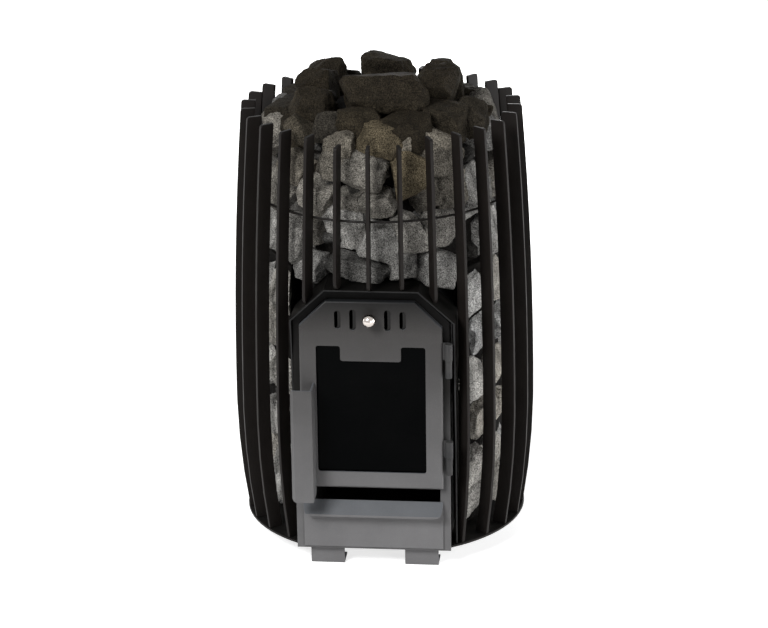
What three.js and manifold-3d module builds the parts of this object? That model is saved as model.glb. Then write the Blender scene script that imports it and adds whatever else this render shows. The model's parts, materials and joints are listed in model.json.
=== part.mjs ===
// Wood-burning sauna stove: a barrel-shaped cage of flat bars holds stones around a steel firebox.
// Millimetres, +Z up, the fire door faces -Y. The origin lies on the floor under the middle of the stove.

import * as THREE from 'three';
import { ConvexGeometry } from 'three/addons/geometries/ConvexGeometry.js';
import { mergeVertices } from 'three/addons/utils/BufferGeometryUtils.js';
import Module from 'manifold-3d';

const wasm = await Module();
wasm.setup();

// Clearances
const weldGap = 0.3;
const slideGap = 0.5;
const cutOverrun = 20;

// Stone cage. Heights are above the base plate, reaches are distances from the cage's upright axis.
const barCount = 28;
const barThickness = 6;
const barDepth = 26;
const barHeight = 770;
const barTopRound = 5;
const barStationPitch = 70;
const cageWaistRadius = 275;
const cageWaistHeight = 228;
const cageTopRadius = 253;
const cageBaseRadius = 256;
const shortBarsEachSide = 2;
const trimmedBarsEachSide = 3;
const loweredBarsEachSide = 1;
const loweredBarDrop = 12;
const shortBarToe = 18;
const hoopHeight = 620;
const hoopRod = 5;

// Base plate and feet
const basePlateThickness = 4;
const baseRimOverhang = 2;
const footHeight = 34;
const footSheet = 4;
const footWidth = 61;
const footLength = 42;
const footBend = 4;
const footSpread = 85.5;
const frontFootReach = 222;
const rearFootReach = 170;

// Door surround, an arch of bent sheet with slanted corners
const surroundHalfWidth = 146.5;
const surroundHeight = 500;
const surroundSlantWidth = 63;
const surroundSlantHeight = 62;
const surroundShift = 3;
const surroundSheet = 3;
const surroundTopReach = 256;
const surroundMidReach = 208;
const surroundBaseReach = 205;
const surroundBackReach = 165;

// Firebox
const plateReach = 232;
const plateThickness = 5;
const plateGap = 1;
const fireboxInset = 3;
const fireboxWall = 5;
const fireboxRear = 120;
const shelfHeight = 120;
const shelfThickness = 5;
const grateWidth = 156;
const grateLength = 236;
const grateThickness = 14;
const grateBorder = 14;
const grateSlots = 7;
const grateSlotShare = 0.5;
const grateBearing = 8;
const grateCentre = -40;
const baffleThickness = 5;
const baffleHeight = 408;
const baffleRise = 26;
const baffleThroat = 95;
const flueDiameter = 115;
const flueWall = 3;
const flueDrop = 5;
const flueCentre = 50;

// Fire door
const doorReach = 246;
const doorSheet = 3;
const doorFoldRadius = 4;
const doorGap = 1;
const doorSideMargin = 12.5;
const doorTopMargin = 17;
const doorSlant = 48;
const doorBottom = 122;
const fireOpeningMargin = 20;
const fireOpeningBottom = 142;
const windowHalfWidth = 97.5;
const windowBottom = 152;
const windowTop = 392;
const windowRound = 5;
const tabHalfWidth = 54;
const tabDrop = 28;
const glassThickness = 4;
const glassLap = 10;
const glassBed = 2;
const retainerThickness = 2;
const retainerLap = 4;
const retainerSight = 2;
const sealWidth = 6;
const sealDepth = 5;

// Air slots, damper and knob
const slotWidth = 11.5;
const innerSlotLength = 39;
const outerSlotLength = 34;
const innerSlotOffset = 30.8;
const outerSlotOffset = 57.8;
const slotDrop = 34.5;
const damperThickness = 2;
const damperEdge = 2;
const guideRail = 3;
const guideLip = 3;
const guideThickness = 1.5;
const knobDrop = 29;
const knobBall = 25;
const knobStem = 6;
const knobCollar = 12;
const knobCollarLength = 5;

// Door handle
const handleReach = 290;
const handleSheet = 3;
const handleWebInset = 26;
const handleWidth = 39;
const handleEdgeFold = 6;
const handleBottom = 108;
const handleTop = 322;
const handleRound = 8;

// Hinges
const hingeOffset = 11.5;
const hingePin = 6;
const hingeBoreClearance = 0.4;
const doorKnuckle = 14;
const frameKnuckle = 12;
const knuckleLength = 32;
const knuckleLeaf = 4;
const upperHingeHeight = 368.5;
const lowerHingeHeight = 183;

// Ash drawer
const ashOpeningHalfWidth = 121;
const ashOpeningTop = 116;
const drawerSideGap = 3;
const drawerSheet = 2;
const drawerHeight = 78;
const drawerLength = 270;
const drawerFrontHalfWidth = 126;
const drawerFrontHeight = 92;
const drawerFrontSheet = 3;
const drawerFrontLift = 1;
const lipLength = 30;
const lipSlope = Math.PI / 4;
const lipRound = 18;

// Stones. A row stands around the cage between two heights, with a stone for each pitch of its length.
const stoneClearance = 2;
const stoneDepth = 78;
const coreDepth = 30;
const rowPitch = 84;
const stoneWidth = 102;
const stoneFill = 1.12;
const stoneSpread = 0.24;
const cornerDraw = 0.46;
const stoneSpin = 0.45;
const stoneTilt = 0.4;
const wedgeThickness = 14;
const frontBearing = 52;
const heapRise = 116;
const heapShoulder = 4;
const coreRise = 60;
const settlePasses = 3;
const stoneSeed = 20;

// Round surfaces
const plateSegments = 36;
const tubeSegments = 32;
const hoopSides = 5;
const pinSegments = 20;
const cornerSegments = 4;
const foldSegments = 3;
const hoodSegments = 10;
const ballSteps = 9;
const coreSteps = 6;

// Finishes, as colour, roughness and metalness
const blackPaint = { color: 0x1d1b1a, roughness: 0.62, metalness: 0.2 };
const greyPaint = { color: 0x5d5b5a, roughness: 0.55, metalness: 0.25 };
const darkSteel = { color: 0x2c2b2b, roughness: 0.6, metalness: 0.5 };
const castIron = { color: 0x232220, roughness: 0.8, metalness: 0.4 };
const polishedSteel = { color: 0xd2cdc8, roughness: 0.15, metalness: 1 };
const blackGlass = { color: 0x060708, roughness: 0.06, metalness: 0 };
const ceramicRope = { color: 0xb9b4a6, roughness: 0.95, metalness: 0 };
const greyStone = { color: 0x74726c, roughness: 0.92, metalness: 0 };

// Scene graph: heights inside are above the base plate, and the group stands on the floor.
const stove = new THREE.Group();
stove.position.set(0, (handleReach - cageWaistRadius) / 2, footHeight + basePlateThickness);

function addPiece(name, shape, finish) {
  const geometry = shape.isBufferGeometry ? shape : toGeometry(shape);
  const mesh = new THREE.Mesh(geometry, new THREE.MeshStandardMaterial(finish));
  mesh.name = name;
  stove.add(mesh);
  return mesh;
}

// Solids
function withSharedVertices(geometry) {
  const bare = geometry.clone();
  bare.deleteAttribute('normal');
  bare.deleteAttribute('uv');
  return mergeVertices(bare);
}

function toSolid(geometry) {
  const merged = withSharedVertices(geometry);
  const vertProperties = new Float32Array(merged.attributes.position.array);
  const triVerts = new Uint32Array(merged.index.array);
  return new wasm.Manifold(new wasm.Mesh({ numProp: 3, vertProperties, triVerts }));
}

function toGeometry(solid) {
  const mesh = solid.getMesh();
  const geometry = new THREE.BufferGeometry();
  geometry.setAttribute('position', new THREE.BufferAttribute(mesh.vertProperties, 3));
  geometry.setIndex(new THREE.BufferAttribute(mesh.triVerts, 1));
  geometry.computeVertexNormals();
  return geometry;
}

function extrude(shape, depth, curveSegments = cornerSegments) {
  return new THREE.ExtrudeGeometry(shape, { depth, bevelEnabled: false, curveSegments });
}

// An outline in x and z, drawn out from yFront to yBack
function prismAlongY(shape, yFront, yBack) {
  const geometry = extrude(shape, yBack - yFront);
  geometry.rotateX(Math.PI / 2);
  geometry.translate(0, yBack, 0);
  return geometry;
}

// An outline in y and z, drawn out from xLeft to xRight
function prismAlongX(shape, xLeft, xRight, curveSegments) {
  const geometry = extrude(shape, xRight - xLeft, curveSegments);
  const axes = new THREE.Matrix4().makeBasis(
    new THREE.Vector3(0, 1, 0),
    new THREE.Vector3(0, 0, 1),
    new THREE.Vector3(1, 0, 0),
  );
  geometry.applyMatrix4(axes);
  geometry.translate(xLeft, 0, 0);
  return geometry;
}

// An outline in x and y, drawn out from zLow to zHigh
function prismAlongZ(shape, zLow, zHigh) {
  const geometry = extrude(shape, zHigh - zLow);
  geometry.translate(0, 0, zLow);
  return geometry;
}

function box(xLeft, xRight, yFront, yBack, zLow, zHigh) {
  const geometry = new THREE.BoxGeometry(xRight - xLeft, yBack - yFront, zHigh - zLow);
  geometry.translate((xLeft + xRight) / 2, (yFront + yBack) / 2, (zLow + zHigh) / 2);
  return geometry;
}

function uprightCylinder(radius, x, y, zLow, zHigh, segments) {
  const geometry = new THREE.CylinderGeometry(radius, radius, zHigh - zLow, segments);
  geometry.rotateX(Math.PI / 2);
  geometry.translate(x, y, (zLow + zHigh) / 2);
  return geometry;
}

// A profile of radius and height, turned about the upright axis
function revolve(profile, segments) {
  const geometry = new THREE.LatheGeometry(profile, segments);
  geometry.rotateX(Math.PI / 2);
  return geometry;
}

// Outlines
function rectangle(xLeft, xRight, zLow, zHigh) {
  return new THREE.Shape([
    new THREE.Vector2(xLeft, zLow),
    new THREE.Vector2(xRight, zLow),
    new THREE.Vector2(xRight, zHigh),
    new THREE.Vector2(xLeft, zHigh),
  ]);
}

function roundedOutline(corners, radius) {
  const shape = new THREE.Shape();
  corners.forEach((corner, index) => {
    const before = corners[(index + corners.length - 1) % corners.length];
    const after = corners[(index + 1) % corners.length];
    const entry = corner.clone().lerp(before, radius / corner.distanceTo(before));
    const exit = corner.clone().lerp(after, radius / corner.distanceTo(after));
    if (index === 0) {
      shape.moveTo(entry.x, entry.y);
    } else {
      shape.lineTo(entry.x, entry.y);
    }
    shape.quadraticCurveTo(corner.x, corner.y, exit.x, exit.y);
  });
  return shape;
}

function obround(x, z, width, length) {
  const radius = width / 2;
  const straight = length / 2 - radius;
  const shape = new THREE.Shape();
  shape.absarc(x, z + straight, radius, 0, Math.PI, false);
  shape.absarc(x, z - straight, radius, Math.PI, 2 * Math.PI, false);
  return shape;
}

// The arch of the door front: a rectangle whose two upper corners are cut on a slant
const surroundArch = {
  half: surroundHalfWidth,
  top: surroundHeight,
  slantWidth: surroundSlantWidth,
  slantHeight: surroundSlantHeight,
};

function insetArch(arch, inset) {
  const slant = Math.hypot(arch.slantWidth, arch.slantHeight);
  return {
    half: arch.half - inset,
    top: arch.top - inset,
    slantWidth: arch.slantWidth - inset + (inset * (slant - arch.slantWidth)) / arch.slantHeight,
    slantHeight: arch.slantHeight - inset + (inset * (slant - arch.slantHeight)) / arch.slantWidth,
  };
}

function archShape(arch, bottom) {
  return new THREE.Shape([
    new THREE.Vector2(-arch.half, bottom),
    new THREE.Vector2(arch.half, bottom),
    new THREE.Vector2(arch.half, arch.top - arch.slantHeight),
    new THREE.Vector2(arch.half - arch.slantWidth, arch.top),
    new THREE.Vector2(arch.slantWidth - arch.half, arch.top),
    new THREE.Vector2(-arch.half, arch.top - arch.slantHeight),
  ]);
}

function archHeightAt(arch, x) {
  const pastFlat = Math.abs(x) - (arch.half - arch.slantWidth);
  if (pastFlat <= 0) {
    return arch.top;
  }
  if (pastFlat >= arch.slantWidth) {
    return 0;
  }
  return arch.top - (pastFlat / arch.slantWidth) * arch.slantHeight;
}

const plateArch = insetArch(surroundArch, surroundSheet + surroundShift + plateGap);
const fireboxArch = insetArch(plateArch, fireboxInset);
const chamberArch = insetArch(fireboxArch, fireboxWall);
const doorArch = {
  half: plateArch.half - doorSideMargin,
  top: plateArch.top - doorTopMargin,
  slantWidth: doorSlant,
  slantHeight: doorSlant,
};
const pocketArch = insetArch(doorArch, doorSheet);
const slotCentreHeight = doorArch.top - slotDrop;
const knobHeight = doorArch.top - knobDrop;

// Depths from front to back
const doorFront = -doorReach;
const doorSheetBack = doorFront + doorSheet;
const plateFront = -plateReach;
const plateBack = plateFront + plateThickness;
const doorBack = plateFront - doorGap;
const fireboxFront = plateBack + weldGap;

// Cage
const barPitchAngle = (2 * Math.PI) / barCount;

function cageRadiusAt(height) {
  const above = height > cageWaistHeight;
  const endRadius = above ? cageTopRadius : cageBaseRadius;
  const endRun = above ? barHeight - cageWaistHeight : cageWaistHeight;
  const share = (height - cageWaistHeight) / endRun;
  return cageWaistRadius - (cageWaistRadius - endRadius) * share * share;
}

function barStations(bottom, top) {
  const steps = Math.ceil((top - bottom) / barStationPitch);
  const heights = [cageWaistHeight];
  for (let step = 0; step <= steps; step += 1) {
    heights.push(bottom + ((top - bottom) * step) / steps);
  }
  const inRange = heights.filter((height) => height >= bottom && height <= top);
  return [...new Set(inRange)].sort((a, b) => a - b);
}

function barOutline(bottom, top, toe) {
  const outline = new THREE.Shape();
  const heights = barStations(bottom, top);
  const middle = heights.slice(1, -1);
  outline.moveTo(cageRadiusAt(bottom) - barDepth, bottom);
  if (toe > 0) {
    outline.lineTo(cageRadiusAt(bottom) - toe, bottom);
    outline.quadraticCurveTo(cageRadiusAt(bottom), bottom, cageRadiusAt(bottom + toe), bottom + toe);
  } else {
    outline.lineTo(cageRadiusAt(bottom), bottom);
  }
  for (const height of middle) {
    outline.lineTo(cageRadiusAt(height), height);
  }
  const shoulder = top - barTopRound;
  outline.lineTo(cageRadiusAt(shoulder), shoulder);
  outline.quadraticCurveTo(cageRadiusAt(top), top, cageRadiusAt(top) - barTopRound, top);
  outline.lineTo(cageRadiusAt(top) - barDepth, top);
  for (const height of middle.reverse()) {
    outline.lineTo(cageRadiusAt(height) - barDepth, height);
  }
  return outline;
}

// A bar stands on edge in the plane through the cage's axis, first at the front centre
function barGeometry(outline) {
  const geometry = extrude(outline, barThickness);
  geometry.translate(0, 0, -barThickness / 2);
  const frontPlane = new THREE.Matrix4().makeBasis(
    new THREE.Vector3(0, -1, 0),
    new THREE.Vector3(0, 0, 1),
    new THREE.Vector3(-1, 0, 0),
  );
  return geometry.applyMatrix4(frontPlane);
}

function addCageBars() {
  const doorSpace = archShape(insetArch(surroundArch, -weldGap), -cutOverrun);
  const doorPrism = prismAlongY(doorSpace, -cageWaistRadius - cutOverrun, 0);
  doorPrism.translate(surroundShift, 0, 0);
  const doorCut = toSolid(doorPrism);
  for (let index = 0; index < barCount; index += 1) {
    const fromFront = index > barCount / 2 ? index - barCount : index;
    const side = Math.abs(fromFront);
    const angle = fromFront * barPitchAngle;
    const reach = cageRadiusAt(surroundHeight) * Math.sin(angle);
    const isShort = side <= shortBarsEachSide;
    const bottom = weldGap + (isShort ? archHeightAt(surroundArch, reach - surroundShift) : 0);
    const top = barHeight - (side <= loweredBarsEachSide ? loweredBarDrop : 0);
    const outline = barOutline(bottom, top, isShort ? shortBarToe : 0);
    const name = `cage_bar_${String(index + 1).padStart(2, '0')}`;
    const geometry = barGeometry(outline);
    if (side <= trimmedBarsEachSide) {
      geometry.rotateZ(angle);
      addPiece(name, toSolid(geometry).subtract(doorCut), blackPaint);
    } else {
      addPiece(name, geometry, blackPaint).rotation.z = angle;
    }
  }
}

function addHoop() {
  const radius = cageRadiusAt(hoopHeight) - barDepth - weldGap - hoopRod / 2;
  const ring = new THREE.TorusGeometry(radius, hoopRod / 2, hoopSides, 2 * barCount);
  addPiece('cage_hoop', ring, blackPaint).position.z = hoopHeight;
}

// Base plate, round with a straight front edge behind the front plate
function addBasePlate() {
  const radius = cageBaseRadius + baseRimOverhang;
  const start = Math.asin(fireboxFront / radius);
  const outline = new THREE.Shape();
  outline.absarc(0, 0, radius, start, Math.PI - start, false);
  const geometry = extrude(outline, basePlateThickness, plateSegments);
  geometry.translate(0, 0, -basePlateThickness);
  addPiece('base_plate', geometry, blackPaint);
}

// A foot is a strip bent to an L, with its sole turned towards the middle of the stove
function footGeometry() {
  const top = footHeight - weldGap;
  const profile = new THREE.Shape();
  profile.moveTo(0, top);
  profile.lineTo(0, footBend);
  profile.quadraticCurveTo(0, 0, footBend, 0);
  profile.lineTo(footLength, 0);
  profile.lineTo(footLength, footSheet);
  profile.lineTo(footSheet, footSheet);
  profile.lineTo(footSheet, top);
  return prismAlongX(profile, -footWidth / 2, footWidth / 2);
}

function addFeet() {
  const sides = { left: -1, right: 1 };
  for (const [sideName, side] of Object.entries(sides)) {
    const front = addPiece(`foot_front_${sideName}`, footGeometry(), greyPaint);
    front.position.set(side * footSpread, -frontFootReach, -basePlateThickness - footHeight);
    const rear = addPiece(`foot_rear_${sideName}`, footGeometry(), greyPaint);
    rear.position.set(side * footSpread, rearFootReach, -basePlateThickness - footHeight);
    rear.rotation.z = Math.PI;
  }
}

// Door surround: the front edge sweeps forward towards the top like a hood
function surroundSideProfile() {
  const profile = new THREE.Shape();
  profile.moveTo(-surroundBackReach, weldGap);
  profile.lineTo(-surroundBackReach, surroundHeight);
  profile.lineTo(-surroundTopReach, surroundHeight);
  profile.quadraticCurveTo(-surroundMidReach, surroundHeight / 2, -surroundBaseReach, weldGap);
  return profile;
}

function addSurround() {
  const farFront = -surroundTopReach - cutOverrun;
  const innerArch = archShape(insetArch(surroundArch, surroundSheet), -cutOverrun);
  const arch = toSolid(prismAlongY(archShape(surroundArch, 0), farFront, 0));
  const hollow = toSolid(prismAlongY(innerArch, farFront, 0));
  const reach = surroundHalfWidth + cutOverrun;
  const sides = toSolid(prismAlongX(surroundSideProfile(), -reach, reach, hoodSegments));
  const surround = addPiece('door_surround', arch.subtract(hollow).intersect(sides), greyPaint);
  surround.position.x = surroundShift;
}

// Firebox shell: roof, side walls and rear wall, open at the front and on the base plate
function addFirebox() {
  const outer = toSolid(prismAlongY(archShape(fireboxArch, weldGap), fireboxFront, fireboxRear));
  const inner = archShape(chamberArch, -cutOverrun);
  const hollow = toSolid(prismAlongY(inner, fireboxFront - cutOverrun, fireboxRear - fireboxWall));
  const flueRadius = flueDiameter / 2 - flueWall;
  const roofTop = fireboxArch.top + cutOverrun;
  const flueHole = uprightCylinder(flueRadius, 0, flueCentre, baffleHeight, roofTop, tubeSegments);
  addPiece('firebox_shell', outer.subtract(hollow).subtract(toSolid(flueHole)), darkSteel);
}

function addFrontPlate() {
  const plate = toSolid(prismAlongY(archShape(plateArch, -basePlateThickness), plateFront, plateBack));
  const opening = archShape(insetArch(doorArch, fireOpeningMargin), fireOpeningBottom);
  const front = plateFront - cutOverrun;
  const back = plateBack + cutOverrun;
  const fireOpening = toSolid(prismAlongY(opening, front, back));
  const ashOpening = box(-ashOpeningHalfWidth, ashOpeningHalfWidth, front, back, 0, ashOpeningTop);
  addPiece('front_plate', plate.subtract(fireOpening).subtract(toSolid(ashOpening)), greyPaint);
}

function addGrate() {
  const half = chamberArch.half - weldGap;
  const shelf = rectangle(-half, half, fireboxFront, fireboxRear - fireboxWall - weldGap);
  const holeHalf = grateWidth / 2 - grateBearing;
  const holeLength = grateLength / 2 - grateBearing;
  shelf.holes.push(rectangle(-holeHalf, holeHalf, grateCentre - holeLength, grateCentre + holeLength));
  addPiece('grate_shelf', prismAlongZ(shelf, shelfHeight, shelfHeight + shelfThickness), darkSteel);

  const grate = rectangle(
    -grateWidth / 2,
    grateWidth / 2,
    grateCentre - grateLength / 2,
    grateCentre + grateLength / 2,
  );
  const pitch = (grateWidth - 2 * grateBorder) / (grateSlots - 1 + grateSlotShare);
  const slotSpan = pitch * grateSlotShare;
  for (let slot = 0; slot < grateSlots; slot += 1) {
    const x = -grateWidth / 2 + grateBorder + slotSpan / 2 + slot * pitch;
    grate.holes.push(obround(x, grateCentre, slotSpan, grateLength - 2 * grateBorder));
  }
  const grateBottom = shelfHeight + shelfThickness + weldGap;
  addPiece('fire_grate', prismAlongZ(grate, grateBottom, grateBottom + grateThickness), castIron);
}

// Flame baffle: a plate that rises from the rear wall and leaves a throat at the front
function addBaffle() {
  const rear = fireboxRear - fireboxWall - weldGap;
  const front = fireboxFront + baffleThroat;
  const profile = new THREE.Shape();
  profile.moveTo(rear, baffleHeight);
  profile.lineTo(rear, baffleHeight + baffleThickness);
  profile.lineTo(front, baffleHeight + baffleRise + baffleThickness);
  profile.lineTo(front, baffleHeight + baffleRise);
  const plate = toSolid(prismAlongX(profile, -chamberArch.half, chamberArch.half));
  const space = archShape(insetArch(chamberArch, weldGap), 0);
  addPiece('flame_baffle', plate.intersect(toSolid(prismAlongY(space, front - cutOverrun, rear))), darkSteel);
}

function addFlue() {
  const outer = flueDiameter / 2;
  const inner = outer - flueWall;
  const bottom = fireboxArch.top + weldGap;
  const top = barHeight - flueDrop;
  const profile = [
    new THREE.Vector2(inner, bottom),
    new THREE.Vector2(outer, bottom),
    new THREE.Vector2(outer, top),
    new THREE.Vector2(inner, top),
    new THREE.Vector2(inner, bottom),
  ];
  addPiece('flue_pipe', revolve(profile, tubeSegments), blackPaint).position.y = flueCentre;
}

// Fire door
const damperTravel = slotWidth / 2;
const airSlots = [
  { x: -outerSlotOffset, length: outerSlotLength },
  { x: -innerSlotOffset, length: innerSlotLength },
  { x: innerSlotOffset, length: innerSlotLength },
  { x: outerSlotOffset, length: outerSlotLength },
];

function windowOutline() {
  const corners = [
    new THREE.Vector2(-windowHalfWidth, windowBottom),
    new THREE.Vector2(windowHalfWidth, windowBottom),
    new THREE.Vector2(windowHalfWidth, windowTop),
    new THREE.Vector2(tabHalfWidth, windowTop),
    new THREE.Vector2(tabHalfWidth, windowTop - tabDrop),
    new THREE.Vector2(-tabHalfWidth, windowTop - tabDrop),
    new THREE.Vector2(-tabHalfWidth, windowTop),
    new THREE.Vector2(-windowHalfWidth, windowTop),
  ];
  return roundedOutline(corners, windowRound);
}

// The pan's front edges are folded round, so the outline is drawn in and bevelled back out
function doorPan() {
  const drawnIn = archShape(insetArch(doorArch, doorFoldRadius), doorBottom + doorFoldRadius);
  const depth = doorReach - plateReach;
  const geometry = new THREE.ExtrudeGeometry(drawnIn, {
    depth,
    bevelEnabled: true,
    bevelThickness: doorFoldRadius,
    bevelSize: doorFoldRadius,
    bevelSegments: foldSegments,
  });
  geometry.rotateX(Math.PI / 2);
  geometry.translate(0, doorFront + depth + doorFoldRadius, 0);
  const behind = box(
    -surroundHalfWidth,
    surroundHalfWidth,
    doorBack,
    doorBack + depth + cutOverrun,
    0,
    surroundHeight,
  );
  return toSolid(geometry).subtract(toSolid(behind));
}

function addDoorPanel() {
  let door = doorPan();
  const pocket = archShape(pocketArch, doorBottom + doorSheet);
  door = door.subtract(toSolid(prismAlongY(pocket, doorSheetBack, doorBack + cutOverrun)));
  const stemRun = obround(0, 0, knobStem + 2 * slideGap, knobStem + 2 * slideGap + 2 * damperTravel);
  const stemSlot = prismAlongY(stemRun, doorFront - cutOverrun, doorSheetBack + slideGap);
  stemSlot.rotateY(Math.PI / 2);
  stemSlot.translate(0, 0, knobHeight);
  const cuts = airSlots.map((slot) => obround(slot.x, slotCentreHeight, slotWidth, slot.length));
  cuts.push(windowOutline());
  for (const cut of cuts) {
    door = door.subtract(toSolid(prismAlongY(cut, doorFront - cutOverrun, doorSheetBack + slideGap)));
  }
  addPiece('door_panel', door.subtract(toSolid(stemSlot)), greyPaint);
}

const glassFront = doorSheetBack + glassBed;
const glassBack = glassFront + glassThickness;
const glassHalfWidth = windowHalfWidth + glassLap;
const glassBottom = windowBottom - glassLap;
const glassTop = windowTop + glassLap;

function addGlass() {
  const pane = rectangle(-glassHalfWidth, glassHalfWidth, glassBottom, glassTop);
  addPiece('door_glass', prismAlongY(pane, glassFront, glassBack), blackGlass);

  const outer = rectangle(
    -glassHalfWidth - retainerLap,
    glassHalfWidth + retainerLap,
    glassBottom - retainerLap,
    glassTop + retainerLap,
  );
  const sight = windowHalfWidth + retainerSight;
  outer.holes.push(rectangle(-sight, sight, windowBottom - retainerSight, windowTop + retainerSight));
  const front = glassBack + weldGap;
  addPiece('glass_retainer', prismAlongY(outer, front, front + retainerThickness), darkSteel);
}

function addSeal() {
  const ring = archShape(insetArch(pocketArch, slideGap), doorBottom + doorSheet + slideGap);
  const inset = slideGap + sealWidth;
  ring.holes.push(archShape(insetArch(pocketArch, inset), doorBottom + doorSheet + inset));
  const back = plateFront - weldGap;
  addPiece('door_seal', prismAlongY(ring, back - sealDepth, back), ceramicRope);
}

// Handle: a web stands on the door, the grip plate turns outwards and its free edge is folded back
function addHandle() {
  const web = handleWebInset - doorArch.half;
  const inner = web - handleSheet;
  const front = -handleReach;
  const gripBack = front + handleSheet;
  const edge = web - handleWidth;
  const fold = handleSheet * Math.SQRT1_2;
  const plan = new THREE.Shape([
    new THREE.Vector2(web, doorFront - weldGap),
    new THREE.Vector2(inner, doorFront - weldGap),
    new THREE.Vector2(inner, gripBack),
    new THREE.Vector2(edge + handleEdgeFold + fold / 2, gripBack),
    new THREE.Vector2(edge + fold, front + handleEdgeFold + fold),
    new THREE.Vector2(edge, front + handleEdgeFold),
    new THREE.Vector2(edge + handleEdgeFold, front),
    new THREE.Vector2(web, front),
  ]);
  const bar = toSolid(prismAlongZ(plan, handleBottom, handleTop));
  const outline = roundedOutline(
    [
      new THREE.Vector2(edge, handleBottom),
      new THREE.Vector2(web + cutOverrun, handleBottom),
      new THREE.Vector2(web + cutOverrun, handleTop),
      new THREE.Vector2(edge, handleTop),
    ],
    handleRound,
  );
  const trim = prismAlongY(outline, front - cutOverrun, doorFront + cutOverrun);
  addPiece('door_handle', bar.intersect(toSolid(trim)), greyPaint);
}

// Lift-off hinges: the door knuckle drops over the pin of the frame knuckle
const hingeX = doorArch.half + hingeOffset;
const hingeY = doorFront;

function addHinge(name, height) {
  const doorLow = height + slideGap / 2;
  const doorHigh = height + knuckleLength;
  const frameLow = height - knuckleLength;
  const frameHigh = height - slideGap / 2;

  const body = uprightCylinder(frameKnuckle / 2, hingeX, hingeY, frameLow, frameHigh, pinSegments);
  const pin = uprightCylinder(hingePin / 2, hingeX, hingeY, frameLow, doorHigh, pinSegments);
  const frameLeaf = box(hingeX - knuckleLeaf, hingeX, hingeY, plateFront - weldGap, frameLow, frameHigh);
  const frameSide = toSolid(body).add(toSolid(pin)).add(toSolid(frameLeaf));
  addPiece(`${name}_hinge_pin`, frameSide, darkSteel);

  const boreRadius = hingePin / 2 + hingeBoreClearance;
  const sleeve = uprightCylinder(doorKnuckle / 2, hingeX, hingeY, doorLow, doorHigh, pinSegments);
  const bore = uprightCylinder(boreRadius, hingeX, hingeY, frameLow, doorHigh + cutOverrun, pinSegments);
  const leafFront = doorFront + doorFoldRadius;
  const leafBack = leafFront + knuckleLeaf;
  const doorLeaf = box(doorArch.half + weldGap, hingeX, leafFront, leafBack, doorLow, doorHigh);
  const doorSide = toSolid(sleeve).add(toSolid(doorLeaf)).subtract(toSolid(bore));
  addPiece(`${name}_hinge_knuckle`, doorSide, darkSteel);
}

// Damper: a slotted plate behind the air slots, half a slot aside at rest, in a guide on the door
const damperHalfHeight = innerSlotLength / 2 + damperEdge;
const damperHalfLength = outerSlotOffset + slotWidth / 2 + damperTravel + damperEdge;
const damperFront = doorSheetBack + slideGap;
const damperBack = damperFront + damperThickness;

function addDamper() {
  const plate = rectangle(
    -damperHalfLength,
    damperHalfLength,
    slotCentreHeight - damperHalfHeight,
    slotCentreHeight + damperHalfHeight,
  );
  for (const slot of airSlots) {
    plate.holes.push(obround(slot.x - damperTravel, slotCentreHeight, slotWidth, slot.length));
  }
  addPiece('damper_plate', prismAlongY(plate, damperFront, damperBack), darkSteel);

  const runHalf = damperHalfLength + damperTravel + slideGap;
  const runHalfHeight = damperHalfHeight + slideGap;
  const guideHalf = runHalf + guideRail;
  const guideHalfHeight = runHalfHeight + guideRail;
  const guideBack = damperBack + slideGap + guideThickness;
  const frame = rectangle(
    -guideHalf,
    guideHalf,
    slotCentreHeight - guideHalfHeight,
    slotCentreHeight + guideHalfHeight,
  );
  const run = box(
    -runHalf,
    runHalf,
    doorFront,
    damperBack + slideGap,
    slotCentreHeight - runHalfHeight,
    slotCentreHeight + runHalfHeight,
  );
  const sightHalf = runHalf - guideLip;
  const sightHalfHeight = runHalfHeight - guideLip;
  const sight = box(
    -sightHalf,
    sightHalf,
    doorFront,
    guideBack + cutOverrun,
    slotCentreHeight - sightHalfHeight,
    slotCentreHeight + sightHalfHeight,
  );
  const pocket = archShape(insetArch(pocketArch, weldGap), doorBottom);
  const guide = toSolid(prismAlongY(frame, doorSheetBack + weldGap, guideBack))
    .subtract(toSolid(run))
    .subtract(toSolid(sight))
    .intersect(toSolid(prismAlongY(pocket, doorFront, doorBack)));
  addPiece('damper_guide', guide, darkSteel);
}

// Knob: a steel ball on a collar, with a stem through the door to the damper
function addKnob() {
  const ballRadius = knobBall / 2;
  const collarRadius = knobCollar / 2;
  const stemRadius = knobStem / 2;
  const stemEnd = damperFront - weldGap - doorFront;
  const collarStart = -slideGap;
  const collarEnd = collarStart - knobCollarLength;
  const neckAngle = Math.acos(stemRadius / ballRadius);
  const ballCentre = collarEnd - ballRadius * Math.sin(neckAngle);
  const profile = [
    new THREE.Vector2(0, stemEnd),
    new THREE.Vector2(stemRadius, stemEnd),
    new THREE.Vector2(stemRadius, collarStart),
    new THREE.Vector2(collarRadius, collarStart),
    new THREE.Vector2(collarRadius, collarEnd),
  ];
  for (let step = 0; step < ballSteps; step += 1) {
    const angle = neckAngle - ((neckAngle + Math.PI / 2) * step) / ballSteps;
    profile.push(new THREE.Vector2(ballRadius * Math.cos(angle), ballCentre + ballRadius * Math.sin(angle)));
  }
  profile.push(new THREE.Vector2(0, ballCentre - ballRadius));
  const turning = new THREE.LatheGeometry(profile.reverse(), pinSegments);
  const knob = addPiece('damper_knob', turning, polishedSteel);
  knob.position.set(0, doorFront, knobHeight);
}

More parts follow.
